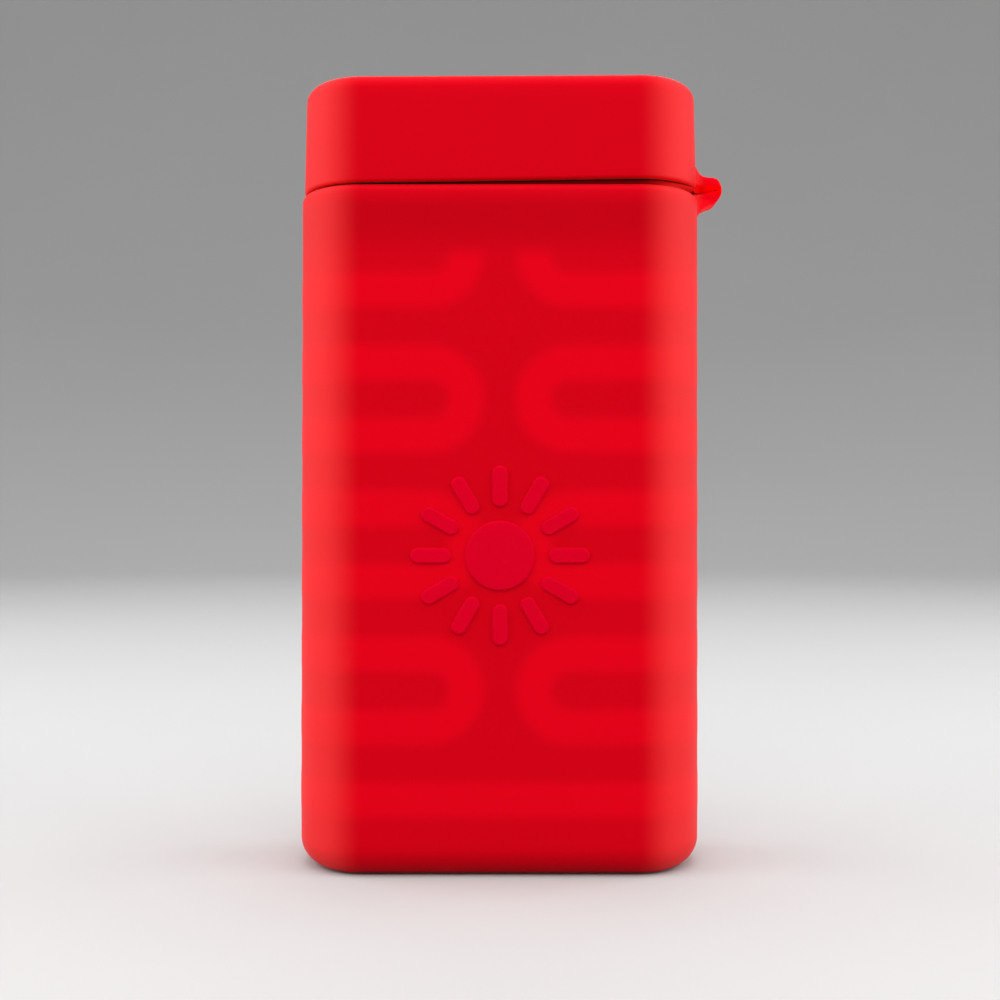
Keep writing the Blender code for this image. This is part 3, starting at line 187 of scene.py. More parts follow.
def outline_surface(sizes, profile):
    """Points of a shell on a grid. profile holds a row of (inset, height, shrink) for each level: the common
    outline set in by inset, drawn in towards the upright axis by shrink, at that height."""
    middle, way = outline_columns(sizes)
    inset, height, shrink = (profile[:, i, None] for i in range(3))
    x = (middle[0] + way[0] * (sizes.side_round - inset)) * shrink
    y = (middle[1] + way[1] * (HALF_DEPTH - sizes.side_flat - inset)) * shrink
    return np.stack((x, y, np.broadcast_to(height, x.shape)), axis=-1)


def curve_rows(centre, radius, start, end, count):
    """Rows of a profile along an arc of radius about centre = (inset, height), from one angle in degrees to
    another: inset = centre + radius * cos, height = centre + radius * sin."""
    angle = np.radians(np.linspace(start, end, count))
    return np.stack(
        (centre[0] + radius * np.cos(angle), centre[1] + radius * np.sin(angle), np.ones(count)), axis=1
    )


def straight_rows(start, end, count):
    """Rows of a profile evenly along a line between two (inset, height) ends, both ends left out."""
    share = np.linspace(0.0, 1.0, count + 2)[1:-1, None]
    rows = np.array(start) * (1.0 - share) + np.array(end) * share
    return np.concatenate((rows, np.ones((count, 1))), axis=1)


def level_rows(inset, height, shares):
    """Rows of a profile over a level face: the outline at inset, drawn in by each share."""
    shares = np.asarray(shares)
    return np.stack((np.full(len(shares), inset), np.full(len(shares), height), shares), axis=1)


def grid_faces(rows, columns, ring=False):
    """Quads of a grid that closes on itself across its columns, and for a ring across its rows too, as an
    array of vertex numbers."""
    number = np.arange(rows * columns).reshape(rows, columns)
    after = np.roll(number, -1, axis=1)
    faces = np.stack((number, after, np.roll(after, -1, axis=0), np.roll(number, -1, axis=0)), axis=-1)
    return faces[: rows if ring else rows - 1].reshape(-1, 4)


def smooth_mesh(name, points, faces):
    mesh = bpy.data.meshes.new(name)
    mesh.from_pydata(points.reshape(-1, 3).tolist(), [], faces)
    mesh.shade_smooth()
    return mesh


def skin_mesh(name, points):
    """A closed mesh from rings of points. Its first and last rings have drawn in to single points, the poles,
    which fans of triangles close."""
    rings = points[1:-1]
    rows, columns = rings.shape[:2]
    vertices = np.concatenate((rings.reshape(-1, 3), points[:1, 0], points[-1:, 0]))
    quads = grid_faces(rows, columns)
    number = np.arange(rows * columns).reshape(rows, columns)
    first, last = number[0], number[-1]
    start = np.full(columns, rows * columns)
    near = np.stack((start, np.roll(first, -1), first), axis=1)
    far = np.stack((start + 1, last, np.roll(last, -1)), axis=1)
    triangles = np.concatenate((near, far))
    corners = vertices[np.concatenate((quads[:, :3], quads[:, [0, 2, 3]], triangles))]
    volume = np.einsum("ij,ij->i", corners[:, 0], np.cross(corners[:, 1], corners[:, 2])).sum()
    if volume < 0.0:
        quads, triangles = quads[:, ::-1], triangles[:, ::-1]
    return smooth_mesh(name, vertices, quads.tolist() + triangles.tolist())


def joined_mesh(name, meshes, merge):
    """Several meshes as one, points closer than merge made one, faces outwards."""
    bm = bmesh.new()
    for mesh in meshes:
        bm.from_mesh(mesh)
        bpy.data.meshes.remove(mesh)
    bmesh.ops.remove_doubles(bm, verts=bm.verts, dist=merge)
    bmesh.ops.recalc_face_normals(bm, faces=bm.faces)
    mesh = bpy.data.meshes.new(name)
    bm.to_mesh(mesh)
    bm.free()
    mesh.shade_smooth()
    return mesh


def add_piece(name, mesh, finish):
    piece = bpy.data.objects.new(name, mesh)
    bpy.context.scene.collection.objects.link(piece)
    mesh.materials.append(finish)
    return piece


def smooth_share(value, start, end):
    """0 before start, 1 after end, and 3t^2 - 2t^3 between them."""
    t = np.clip((value - start) / (end - start), 0.0, 1.0)
    return t * t * (3.0 - 2.0 * t)


def rib_cover(x, z):
    """1 over a rib of the heating shell and 0 over a hollow, with soft edges. The distance to the winding
    middle line is | hypot(min(|x| - bend centre, 0), height from the bend) - half a pitch |, repeated every
    two pitches, and the lowest rib runs straight across."""
    period = 2.0 * RIB_PITCH
    bend = FIRST_RIB + 1.5 * RIB_PITCH
    height = np.mod(z - bend + RIB_PITCH, period) - RIB_PITCH
    inner = np.minimum(np.abs(x) - BEND_CENTRE, 0.0)
    distance = np.abs(np.hypot(inner, height) - 0.5 * RIB_PITCH)
    distance = np.where(z < FIRST_RIB + 0.5 * RIB_PITCH, np.abs(z - FIRST_RIB), distance)
    soft = 0.9 * MM
    cover = 1.0 - smooth_share(distance, RIB_HALF_WIDTH - soft, RIB_HALF_WIDTH + soft)
    return cover * (1.0 - smooth_share(z, RIB_TOP - soft, RIB_TOP + soft))


def skin_swell(sizes, points, outside):
    """How far the outer skin stands out at each point: rib press times the rib cover, plus slow waves, a sum
    of three sines of the place, both faded to nothing by outside, a weight for each row."""
    x, y, z = points[..., 0], points[..., 1], points[..., 2]
    waves = np.sin(z / (7.1 * MM) + 0.6 * np.sign(x)) * 0.45
    waves += np.sin(z / (13.7 * MM) + y / (5.0 * MM) + 1.1) * 0.35
    waves += np.sin(x / (9.3 * MM) - z / (19.0 * MM)) * 0.20
    return (sizes.rib_press * rib_cover(x, z) + sizes.slackness * (waves - 0.5)) * outside


def sideways(points):
    """Unit level directions out from the outline: straight out of the faces, turning round the sides."""
    way = np.zeros_like(points)
    reach_x = np.abs(points[..., 0]) / HALF_WIDTH
    reach_y = np.abs(points[..., 1]) / HALF_DEPTH
    way[..., 0] = np.sign(points[..., 0]) * smooth_share(reach_x, 0.66, 1.0)
    way[..., 1] = np.sign(points[..., 1]) * smooth_share(reach_y, 0.0, 1.0)
    length = np.maximum(np.linalg.norm(way, axis=-1, keepdims=True), 1e-9)
    return way / length


class Value:
    """A number that varies over a surface. Arithmetic on it adds Math nodes to its finish."""

    def __init__(self, finish, socket):
        self.finish = finish
        self.socket = socket

    def __add__(self, other):
        return self.finish.math("ADD", self, other)

    def __sub__(self, other):
        return self.finish.math("SUBTRACT", self, other)

    def __rsub__(self, other):
        return self.finish.math("SUBTRACT", other, self)

    def __mul__(self, other):
        return self.finish.math("MULTIPLY", self, other)

    def __abs__(self):
        return self.finish.math("ABSOLUTE", self)

    __radd__ = __add__
    __rmul__ = __mul__


class Finish:
    """A material in the making: its shader, and places on the object in millimetres."""

    def __init__(self, name, **constants):
        self.material = bpy.data.materials.new(name)
        self.material.use_nodes = True
        self.tree = self.material.node_tree
        self.shader = self.tree.nodes["Principled BSDF"]
        for socket, value in constants.items():
            self.set(socket.replace("_", " ").title().replace("Ior", "IOR"), value)
        place = self.node("ShaderNodeTexCoord").outputs["Object"]
        scaled = self.node(
            "ShaderNodeVectorMath", {"operation": "SCALE"}, {"Vector": place, "Scale": 1000.0}
        )
        self.place = scaled.outputs["Vector"]
        parts = self.node("ShaderNodeSeparateXYZ", inputs={"Vector": self.place})
        self.x, self.y, self.z = (Value(self, parts.outputs[axis]) for axis in "XYZ")

    def node(self, kind, settings=None, inputs=None):
        """Any node: its settings first, then a value or a link for each of its sockets."""
        made = self.tree.nodes.new(kind)
        for name, value in (settings or {}).items():
            setattr(made, name, value)
        for name, value in (inputs or {}).items():
            self.feed(made.inputs[name], value)
        return made

    def feed(self, socket, value):
        if isinstance(value, Value):
            value = value.socket
        if isinstance(value, bpy.types.NodeSocket):
            self.tree.links.new(value, socket)
        elif socket.type == "RGBA":
            socket.default_value = (*value[:3], 1.0)
        else:
            socket.default_value = value

    def set(self, socket, value):
        self.feed(self.shader.inputs[socket], value)

    def math(self, operation, *values):
        made = self.node("ShaderNodeMath", {"operation": operation}, dict(enumerate(values)))
        return Value(self, made.outputs[0])

    def between(self, value, start, end):
        """0 where value is before start, 1 after end, with a smooth step between."""
        made = self.node(
            "ShaderNodeMapRange", {"interpolation_type": "SMOOTHSTEP"},
            {"Value": value, "From Min": start, "From Max": end},
        )
        return Value(self, made.outputs["Result"])

    def near(self, value, sure, lost):
        """1 while value is below sure, and 0 once it is past lost."""
        return 1.0 - self.between(value, sure, lost)

    def distance(self, first, second):
        """The length of a step of these two amounts at right angles."""
        return self.math("SQRT", first * first + second * second)

    def mix(self, first, second, amount):
        """A colour between two, by an amount."""
        return self.node(
            "ShaderNodeMix", {"data_type": "RGBA"}, {0: amount, 6: first, 7: second}
        ).outputs[2]

    def noise(self, scale, detail=2.0, roughness=0.5, stretch=None):
        """Noise with this many waves to a millimetre, drawn out along the axes by stretch."""
        place = self.place
        if stretch:
            place = self.node("ShaderNodeMapping", inputs={"Vector": place, "Scale": stretch}).outputs[0]
        made = self.node(
            "ShaderNodeTexNoise", None,
            {"Vector": place, "Scale": scale, "Detail": detail, "Roughness": roughness},
        )
        return Value(self, made.outputs["Fac"])

    def cells(self, scale):
        """Distance to the nearest of some scattered points, and that point's own random colour."""
        made = self.node("ShaderNodeTexVoronoi", None, {"Vector": self.place, "Scale": scale})
        return Value(self, made.outputs["Distance"]), made.outputs["Color"]

    def close(self, base, roughness, height, distance, strength):
        """The finished material: its base colour, its roughness, and its fine relief, in which a height
        from 0 to 1 stands for this distance in metres."""
        self.set("Base Color", base)
        self.set("Roughness", roughness)
        made = self.node(
            "ShaderNodeBump", None, {"Height": height, "Distance": distance, "Strength": strength}
        )
        self.set("Normal", made.outputs["Normal"])
        return self.material


def dimmed(shade, share):
    """A colour at this share of its brightness."""
    return tuple(share * c for c in shade)


def soft_silicone(name, specular=0.04, sheen=0.04):
    """Soft matte silicone without its colour, and the slow noise that clouds it."""
    finish = Finish(
        name, specular_ior_level=specular, subsurface_weight=0.06, subsurface_scale=1.0 * MM,
        sheen_weight=sheen, sheen_roughness=0.3,
    )
    finish.set("Subsurface Radius", (1.0, 0.12, 0.10))
    finish.set("Sheen Tint", (1.0, 0.8, 0.8))
    finish.set("Specular Tint", (1.0, 0.4, 0.4))
    return finish, finish.noise(0.09, 3.0)


def silicone_surface(finish, base):
    """The finished silicone over its own base colour: pale dust specks, fine grain, and slightly shinier
    and duller patches from handling."""
    dust = (0.85, 0.18, 0.17)
    away, colour = finish.cells(0.22)
    random = finish.node("ShaderNodeSeparateColor", None, {"Color": colour}).outputs["Red"]
    speck = finish.near(away, 0.012, 0.028) * finish.math("GREATER_THAN", random, 0.86)
    grain = finish.noise(3.2)
    handled = finish.noise(0.06)
    return finish.close(
        finish.mix(base, dust, speck * 0.45), 0.46 + grain * 0.06 + handled * 0.08,
        grain + speck * 0.6, 0.006 * MM, 0.5,
    )


def painted_side_highlight(finish, base, cloud):
    """A painted highlight, pale and pinkish, on the rounded sides, but not close to the hinge."""
    side_highlight_colour = (0.72, 0.035, 0.035)
    sides = finish.between(abs(finish.x), 19.3, 24.8)
    across = finish.x - (HINGE_AXIS.x / MM - 2.5)
    upwards = (finish.z - HINGE_AXIS.z / MM) * 0.8
    away = finish.between(finish.distance(across, upwards), 1.2, 4.0)
    return finish.mix(base, side_highlight_colour, sides * away * (0.50 + cloud * 0.12))


def sleeve_finish(name, colours):
    """Silicone over the ribs, which show through it with the formula of rib_cover, softened more."""
    finish, cloud = soft_silicone(name)
    pitch, half_width, first, top = (
        size / MM for size in (RIB_PITCH, RIB_HALF_WIDTH, FIRST_RIB, RIB_TOP)
    )
    bend = first + 1.5 * pitch
    height = finish.math("FLOORED_MODULO", finish.z - (bend - pitch), 2.0 * pitch) - pitch
    inner = finish.math("MINIMUM", abs(finish.x) - BEND_CENTRE / MM, 0.0)
    winding = abs(finish.distance(inner, height) - 0.5 * pitch)
    straight = abs(finish.z - first)
    low = finish.math("LESS_THAN", finish.z, first + 0.5 * pitch)
    distance = winding + (straight - winding) * low + (cloud - 0.5) * 0.8
    cover = finish.near(distance, half_width - 1.3, half_width + 1.1)
    cover = cover * finish.near(finish.z, top - 1.5, top + 1.0)
    # Bands up the sleeve: painted shade at the foot, the bare neck over the ribs, and a painted highlight
    # towards the rim
    foot = finish.near(finish.z, 0.0, 6.0)
    rim = finish.between(finish.z, 94.0, 97.2)
    bare = finish.between(finish.z, 86.0, 92.0) * (1.0 - rim)
    base = finish.mix(colours.silicone_shade, colours.silicone, cover * (0.86 + cloud * 0.28))
    # Darker over the bare neck, and painted shade towards the foot
    base = finish.mix(base, dimmed(colours.silicone_shade, 0.84), bare + foot * 0.9)
    # A painted highlight towards the rim
    base = finish.mix(base, colours.silicone, rim * 0.4)
    # A painted highlight on the rounded sides
    base = painted_side_highlight(finish, base, cloud)
    # Little light gets into the seam, less in front than round the sides
    front_seam, side_seam = (0.17, 0.0, 0.0), (0.54, 0.0, 0.0)
    seam = finish.between(finish.z, RIM_HEIGHT / MM + 0.03, RIM_HEIGHT / MM + 0.12)
    inside = finish.mix(front_seam, side_seam, finish.between(abs(finish.x), 19.5, 25.0))
    return silicone_surface(finish, finish.mix(base, inside, seam))


def cap_finish(name, colours, lift):
    """Silicone with nothing close behind it, a painted highlight towards the top, and painted light round its
    mouth, which rises sideways by lift over half the width."""
    finish, cloud = soft_silicone(name)
    top, mouth = CAP_HIGH.z / MM, CAP_MOUTH / MM
    # A painted highlight towards the top
    edge = finish.between(finish.z, top - 4.0, top - 0.5)
    base = finish.mix(colours.silicone_shade, colours.silicone, edge * 0.7 + (cloud - 0.5) * 0.25)
    # A painted highlight on the rounded sides
    base = painted_side_highlight(finish, base, cloud)
    # Painted light round the mouth: pure red, darker in front and brighter at the sides
    front_mouth_light, side_mouth_light = (0.50, 0.0, 0.0), (0.80, 0.0, 0.0)
    level = finish.z - finish.x * (lift / HALF_WIDTH)
    mouth_light = finish.mix(front_mouth_light, side_mouth_light, finish.between(abs(finish.x), 17.5, 24.0))
    rounding = finish.near(level, mouth, mouth + 0.42)
    return silicone_surface(finish, finish.mix(base, mouth_light, rounding * 0.9))


def hinge_finish(name):
    """Thin silicone, brighter than the walls, with painted highlights beside the walls and underneath, and
    painted light down its fold.
    """
    finish, cloud = soft_silicone(name, 0.02, 0.0)
    thin, wall_highlight, below = (0.74, 0.0, 0.007), (0.66, 0.012, 0.014), (1.0, 0.004, 0.012)
    deep, fold_light = (0.58, 0.0, 0.0), (0.90, 0.0, 0.0)
    # Beside the walls, the walls' painted side highlight carried onto the band
    wall = finish.near(finish.x, HALF_WIDTH / MM - 0.2, HALF_WIDTH / MM + 1.2)
    base = finish.mix(thin, wall_highlight, wall * (0.8 + cloud * 0.3))
    # A painted highlight in brightest red on the lower leg's underside
    under = finish.near(finish.z + (finish.x - 30.6) * 0.2, 96.3, 97.2)
    base = finish.mix(base, below, under * (1.0 - wall))
    # Painted light down the fold: bright pure red, with painted shade where it meets the wall
    crease = finish.near(abs(finish.z - (HINGE_AXIS.z / MM + 0.02)), 0.45, 0.80)
    fold = finish.mix(deep, fold_light, finish.between(finish.x, 28.6, 31.4))
    return silicone_surface(finish, finish.mix(base, fold, crease))


def sun_finish(name, colours):
    """Thicker silicone, through which no rib shows."""
    finish, cloud = soft_silicone(name, 0.02, 0.0)
    return silicone_surface(finish, finish.mix(colours.emblem, dimmed(colours.emblem, 0.9), cloud))


def moulded_finish(name, plastic, roughness, spark, grain):
    """Moulded plastic: spark texture from fine noise, slow shade drift, and rubbed, shinier high spots."""
    finish = Finish(name)
    fine = finish.noise(grain, 3.0, 0.6)
    drift = finish.noise(0.25)
    rubbed = finish.between(fine * 0.5 + drift * 0.5, 0.52, 0.66)
    shiny = tuple(min(1.0, 1.35 * c + 0.004) for c in plastic)
    return finish.close(
        finish.mix(plastic, shiny, rubbed * 0.6), roughness + 0.10 * (fine - 0.5) - 0.12 * rubbed,
        fine, spark, 0.7,
    )


def metal_finish(name, metal, roughness, stretch, grain=4.0, relief=0.004 * MM):
    """Worked metal: noise drawn out along the working direction, in colour, gloss and relief."""
    finish = Finish(name, metallic=1.0)
    lines = finish.noise(grain, 3.0, 0.6, stretch)
    cloud = finish.noise(0.3, 3.0)
    return finish.close(
        finish.mix(metal, dimmed(metal, 0.78), lines * 0.45 + cloud * 0.35),
        roughness + 0.16 * (lines - 0.5) + 0.12 * (cloud - 0.5), lines, relief, 0.5,
    )


def wire_finish(name, silicone):
    """Silicone wire insulation: soft, with faint rings from the extruder and handling marks."""
    finish = Finish(name, specular_ior_level=0.4)
    rings = finish.noise(2.0, 1.0, 0.5, (1.0, 1.0, 3.0))
    marks = finish.noise(0.5, 3.0)
    base = finish.mix(silicone, dimmed(silicone, 0.75), marks * 0.6)
    return finish.close(base, 0.42 + marks * 0.16, rings, 0.01 * MM, 0.4)


def board_finish(name):
    """Solder mask over copper: a weave showing faintly, and tracks from a grid that a coarse noise breaks."""
    finish = Finish(name, coat_weight=0.25, coat_roughness=0.2)
    mask, copper, glass = (0.010, 0.085, 0.030), (0.030, 0.190, 0.070), (0.008, 0.06, 0.02)
    spacing = 0.6
    track_x, track_z = (
        abs(finish.math("PINGPONG", place, spacing) - spacing / 2) for place in (finish.x, finish.z)
    )
    zone = finish.math("GREATER_THAN", finish.noise(0.35, 0.0), 0.5)
    track = finish.near(track_x * zone + track_z * (1.0 - zone), 0.06, 0.10)
    weave = finish.noise(3.0, 0.0, 0.5, (1.0, 1.0, 0.2))
    base = finish.mix(finish.mix(mask, copper, track), glass, weave * 0.3)
    return finish.close(base, 0.30 + weave * 0.15, track, 0.02 * MM, 0.6)


def film_finish(name):
    """Polyimide film with a winding etched track: bars of a square wave up the film, darker metal beneath."""
    finish = Finish(name)
    film, metal, fold = (0.62, 0.25, 0.03), (0.34, 0.20, 0.10), (0.50, 0.17, 0.02)
    spacing = 1.5
    track = finish.near(abs(finish.math("PINGPONG", finish.z, spacing) - spacing / 2), 0.28, 0.34)
    track = track * (1.0 - finish.between(abs(finish.x), 16.2, 16.5))
    ripple = finish.noise(0.4)
    base = finish.mix(finish.mix(film, metal, track), fold, ripple * 0.5)
    return finish.close(base, 0.22 + ripple * 0.15, track + ripple * 0.5, 0.02 * MM, 0.5)


def felt_finish(name):
    """Pressed felt: crossing fibres from two stretched noises, matte and uneven."""
    finish = Finish(name, sheen_weight=0.3, sheen_roughness=0.6, specular_ior_level=0.2)
    dark, pale = (0.30, 0.30, 0.29), (0.55, 0.55, 0.53)
    lengthways = finish.noise(2.4, 3.0, 0.7, (0.25, 1.0, 1.0))
    crossways = finish.noise(2.4, 3.0, 0.7, (1.0, 1.0, 0.25))
    fibre = lengthways * 0.5 + crossways * 0.5
    return finish.close(
        finish.mix(dark, pale, finish.between(fibre, 0.35, 0.65)), 0.95, fibre, 0.08 * MM, 0.9
    )


def wrap_finish(name):
    """Heat-shrunk cell wrap: glossy blue with a paler band at each end and fine draw lines along the cell."""
    finish = Finish(name, coat_weight=0.3, coat_roughness=0.12)
    band, blue, drawn = (0.35, 0.45, 0.55), (0.015, 0.10, 0.32), (0.02, 0.14, 0.38)
    lines = finish.noise(1.6, 2.0, 0.5, (1.0, 1.0, 0.05))
    low, high = (corner.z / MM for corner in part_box("battery_cell_left"))
    middle, reach = (low + high) / 2, (high - low) / 2
    sides = finish.near(abs(finish.z - middle), reach - 2.2, reach - 1.8)
    base = finish.mix(finish.mix(band, blue, sides), drawn, lines * 0.4)
    return finish.close(base, 0.20 + lines * 0.14, lines, 0.015 * MM, 0.5)


def button_finish(name, plastic):
    """Satin button plastic with the plain power symbol printed on its crown: a ring of radius 1.25 mm that
    is open at its rear, and a bar through the opening."""
    finish = Finish(name)
    low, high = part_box("power_button")
    print_white = (0.62, 0.62, 0.62)
    x = finish.x - (low.x + high.x) / 2 / MM
    ring = finish.near(abs(finish.distance(x, finish.y) - 1.25), 0.13, 0.17)
    opening = finish.math("GREATER_THAN", finish.y, 0.0) * finish.near(abs(x), 0.42, 0.46)
    bar = finish.near(abs(x), 0.13, 0.17) * finish.near(abs(finish.y - 0.95), 0.72, 0.76)
    on_top = finish.between(finish.z, high.z / MM - 0.6, high.z / MM - 0.5)
    mark = finish.math("MAXIMUM", ring * (1.0 - opening), bar) * on_top
    fine = finish.noise(6.0, 3.0, 0.6)
    smear = finish.noise(0.7, 3.0)
    base = finish.mix(plastic, dimmed(plastic, 1.4), smear * 0.7)
    return finish.close(
        finish.mix(base, print_white, mark), 0.26 + fine * 0.06 + smear * 0.14 + mark * 0.15,
        fine + mark * 2.0, 0.003 * MM, 0.5,
    )


def clear_finish(name):
    """Frosted light guide: clear plastic, milky where the mould was sanded, with fine flow lines."""
    finish = Finish(name, transmission_weight=0.55)
    flow = finish.noise(1.2, 3.0, 0.5, (1.0, 1.0, 0.3))
    frost = finish.noise(8.0)
    base = finish.mix((0.86, 0.89, 0.92), (0.70, 0.74, 0.78), flow * 0.7)
    return finish.close(base, 0.32 + frost * 0.2, frost, 0.003 * MM, 0.6)


def shell_finish(name, alloy):
    """Bead-blasted aluminium: tiny dimples from cells and noise, and a faint cloudy oxide."""
    finish = Finish(name, metallic=1.0)
    dimple = finish.between(finish.cells(6.0)[0], 0.0, 0.55)
    cloud = finish.noise(0.18, 4.0)
    grain = finish.noise(9.0)
    return finish.close(
        finish.mix(alloy, dimmed(alloy, 0.8), cloud * 0.5 + grain * 0.3),
        0.36 + 0.10 * grain + 0.10 * cloud, dimple * 0.6 + grain * 0.4, 0.012 * MM, 0.6,
    )


class HANDWARMER_OT_sleeve(Operator):
    """Builds the silicone sleeve as one closed shell, with the ribs inside pressing faintly through it"""

    bl_idname = "hand_warmer.sleeve"
    bl_label = "Sleeve"

    def execute(self, context):
        sizes, colours = context.scene.warmer_sizes, context.scene.warmer_colours
        rows = self.profile(sizes)
        points = outline_surface(sizes, np.concatenate(rows))
        # Weights for the first four parts of the profile, which are the outside from the foot to the rim
        weights = (0.0, 0.0), (0.0, 0.3), (1.0, 1.0), (1.0, 0.0)
        shown = [np.linspace(*ends, len(part)) for ends, part in zip(weights, rows)]
        outside = np.zeros(len(points))
        outside[: sum(map(len, shown))] = np.concatenate(shown)
        swell = skin_swell(sizes, points, outside[:, None])
        points = points + sideways(points) * swell[..., None]
        left = smooth_share(-points[..., 0], 0.6 * HALF_WIDTH, HALF_WIDTH)
        points[..., 0] -= sizes.spread * left * (1.0 - points[..., 2] / RIM_HEIGHT)
        self.fit_bead(sizes, points)
        finish = sleeve_finish("sleeve_silicone", colours)
        sleeve = add_piece("sleeve_skin", skin_mesh("sleeve_skin", points), finish)
        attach(sleeve, "warmer")
        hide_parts("silicone_sleeve")
        return {"FINISHED"}

    def profile(self, sizes):
        """The parts of the profile in order: out under the foot, up the outside, over the rim and the bead
        that closes the seam, down the inside and in over the floor."""
        wall, base, lip = sizes.wall, sizes.base_round, sizes.lip_round
        inner_round = base - wall
        floor = 2.0 * MM
        shares = np.concatenate(([0.0], np.linspace(0.08, 0.98, 14)))
        hollow_round, bead_round = 0.2 * MM, 0.12 * MM
        bead_outer = lip + hollow_round + bead_round
        bead_height = RIM_HEIGHT + sizes.seal_height - bead_round
        foot = level_rows(base, 0.0, shares)
        corner = curve_rows((base, base), base, 270.0, 180.0, 18)
        outer = straight_rows((0.0, base), (0.0, RIM_HEIGHT - lip), 124)
        rim = curve_rows((lip, RIM_HEIGHT - lip), lip, 180.0, 90.0, 10)
        hollow = curve_rows((lip, RIM_HEIGHT + hollow_round), hollow_round, 285.0, 360.0, 5)
        bead = curve_rows((bead_outer, bead_height), bead_round, 180.0, 90.0, 4)
        turn = curve_rows((wall - bead_round, bead_height), bead_round, 90.0, 0.0, 4)
        inner = straight_rows((wall, bead_height), (wall, floor + inner_round), 26)
        inner_corner = curve_rows((wall + inner_round, floor + inner_round), inner_round, 180.0, 270.0, 8)
        bottom = level_rows(base, floor, shares[::-1])
        return foot, corner, outer, rim, hollow, bead, turn, inner, inner_corner, bottom

    def fit_bead(self, sizes, points):
        """Moves the bead to follow the cap, which sits a little high on the hinge's side, and to near the
        skin at the sides. Beside the hinge it comes almost flush, as the band is in one with the wall."""
        to_side, to_flush = 0.55 * MM, 0.5 * MM
        start, end = 0.80 * HALF_WIDTH, 0.93 * HALF_WIDTH
        raised = smooth_share(points[..., 2], RIM_HEIGHT + 0.05 * MM, RIM_HEIGHT + 0.35 * MM)
        points[..., 2] += sizes.cap_lift * raised * points[..., 0] / HALF_WIDTH
        side = smooth_share(np.abs(points[..., 0]), start, end)
        points[..., 0] += to_side * raised * side * np.sign(points[..., 0])
        beside = smooth_share(points[..., 0], start, end)
        beside = beside * (1.0 - smooth_share(np.abs(points[..., 1]), 0.3 * HALF_DEPTH, 0.7 * HALF_DEPTH))
        points[..., 0] += to_flush * raised * beside


class HANDWARMER_OT_cap(Operator):
    """Builds the silicone cap as one closed shell that sits a little high at its hinge"""

    bl_idname = "hand_warmer.cap"
    bl_label = "Cap"

    def execute(self, context):
        sizes, colours = context.scene.warmer_sizes, context.scene.warmer_colours
        points = outline_surface(sizes, self.profile(sizes))
        x, y, z = points[..., 0], points[..., 1], points[..., 2]
        height = (z - CAP_MOUTH) / (CAP_HIGH.z - CAP_MOUTH)
        # The tilt is less towards the top, whose middle sinks a little
        lost, dip = 0.67, 0.12 * MM
        points[..., 2] += sizes.cap_lift * (1.0 - lost * height) * x / HALF_WIDTH
        crown = np.cos(0.5 * np.pi * np.clip(np.abs(x) / HALF_WIDTH, 0.0, 1.0))
        crown = crown * np.cos(0.5 * np.pi * np.clip(np.abs(y) / HALF_DEPTH, 0.0, 1.0))
        points[..., 2] -= dip * crown * smooth_share(height, 0.8, 1.0)
        points[..., 0] += sizes.cap_shift
        finish = cap_finish("cap_silicone", colours, sizes.cap_lift)
        cap = add_piece("cap_skin", skin_mesh("cap_skin", points), finish)
        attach(cap, "cap")
        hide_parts("silicone_cap")
        return {"FINISHED"}

    def profile(self, sizes):
        """The profile: out over the roof, down the outside, round the mouth, up the inside and in again."""
        wall, top_round, start = sizes.wall, sizes.cap_round, sizes.cap_inset
        mouth, inner_mouth = 0.45 * MM, 0.25 * MM
        low, high = CAP_MOUTH, CAP_HIGH.z
        ceiling = high - wall
        drawn, inside = start + sizes.cap_draft, start + wall
        shares = np.concatenate(([0.0], np.linspace(0.08, 0.985, 16)))
        roof = level_rows(drawn + top_round, high, shares)
        shoulder = curve_rows((drawn + top_round, high - top_round), top_round, 90.0, 180.0, 16)
        outer = straight_rows((drawn, high - top_round), (start, low + mouth), 26)
        edge = curve_rows((start + mouth, low + mouth), mouth, 180.0, 270.0, 7)
        inner_edge = curve_rows((inside - inner_mouth, low + inner_mouth), inner_mouth, 270.0, 360.0, 5)
        inner = straight_rows((inside, low + inner_mouth), (inside, ceiling - top_round), 12)
        inner_shoulder = curve_rows((inside + top_round, ceiling - top_round), top_round, 180.0, 90.0, 8)
        under = level_rows(inside + top_round, ceiling, shares[::-1])
        return np.concatenate((roof, shoulder, outer, edge, inner_edge, inner, inner_shoulder, under))


def blade_mesh(start, end, across, through):
    """A thin strip from start to end. Its section is across * |cos|^0.4 + through * |sin|^0.4 with the signs
    of the cosine and the sine, and its ends draw in along a quarter circle."""
    start, end, across, through = (np.array(vector) for vector in (start, end, across, through))
    angle = np.linspace(0.0, 2.0 * np.pi, 24, endpoint=False)
    wide, deep = (
        (np.sign(wave) * np.abs(wave) ** 0.4)[:, None] for wave in (np.cos(angle), np.sin(angle))
    )
    section = wide * across + deep * through
    turn = np.radians(np.linspace(0.0, 90.0, 5))
    draw = np.concatenate((np.sin(turn), np.cos(turn)))[:, None, None]
    along = end - start
    run = np.linalg.norm(along)
    near = min(np.linalg.norm(across), 0.25 * run) * (1.0 - np.cos(turn))
    reach = np.concatenate((near, run - near[::-1]))
    return skin_mesh("blade", start + section * draw + (reach / run)[:, None, None] * along)


def smooth_path(points, count):
    """A smooth path through points: a Catmull-Rom curve, the cubic of the four points about each sample."""
    points = np.asarray(points)
    padded = np.concatenate((2 * points[:1] - points[1:2], points, 2 * points[-1:] - points[-2:-1]))
    place = np.linspace(0.0, len(points) - 1 - 1e-9, count)
    first = place.astype(int)
    t = (place - first)[:, None]
    a, b, c, d = (padded[first + i] for i in range(4))
    return 0.5 * (
        2 * b + (c - a) * t + (2 * a - 5 * b + 4 * c - d) * t**2 + (3 * b - a - 3 * c + d) * t**3
    )


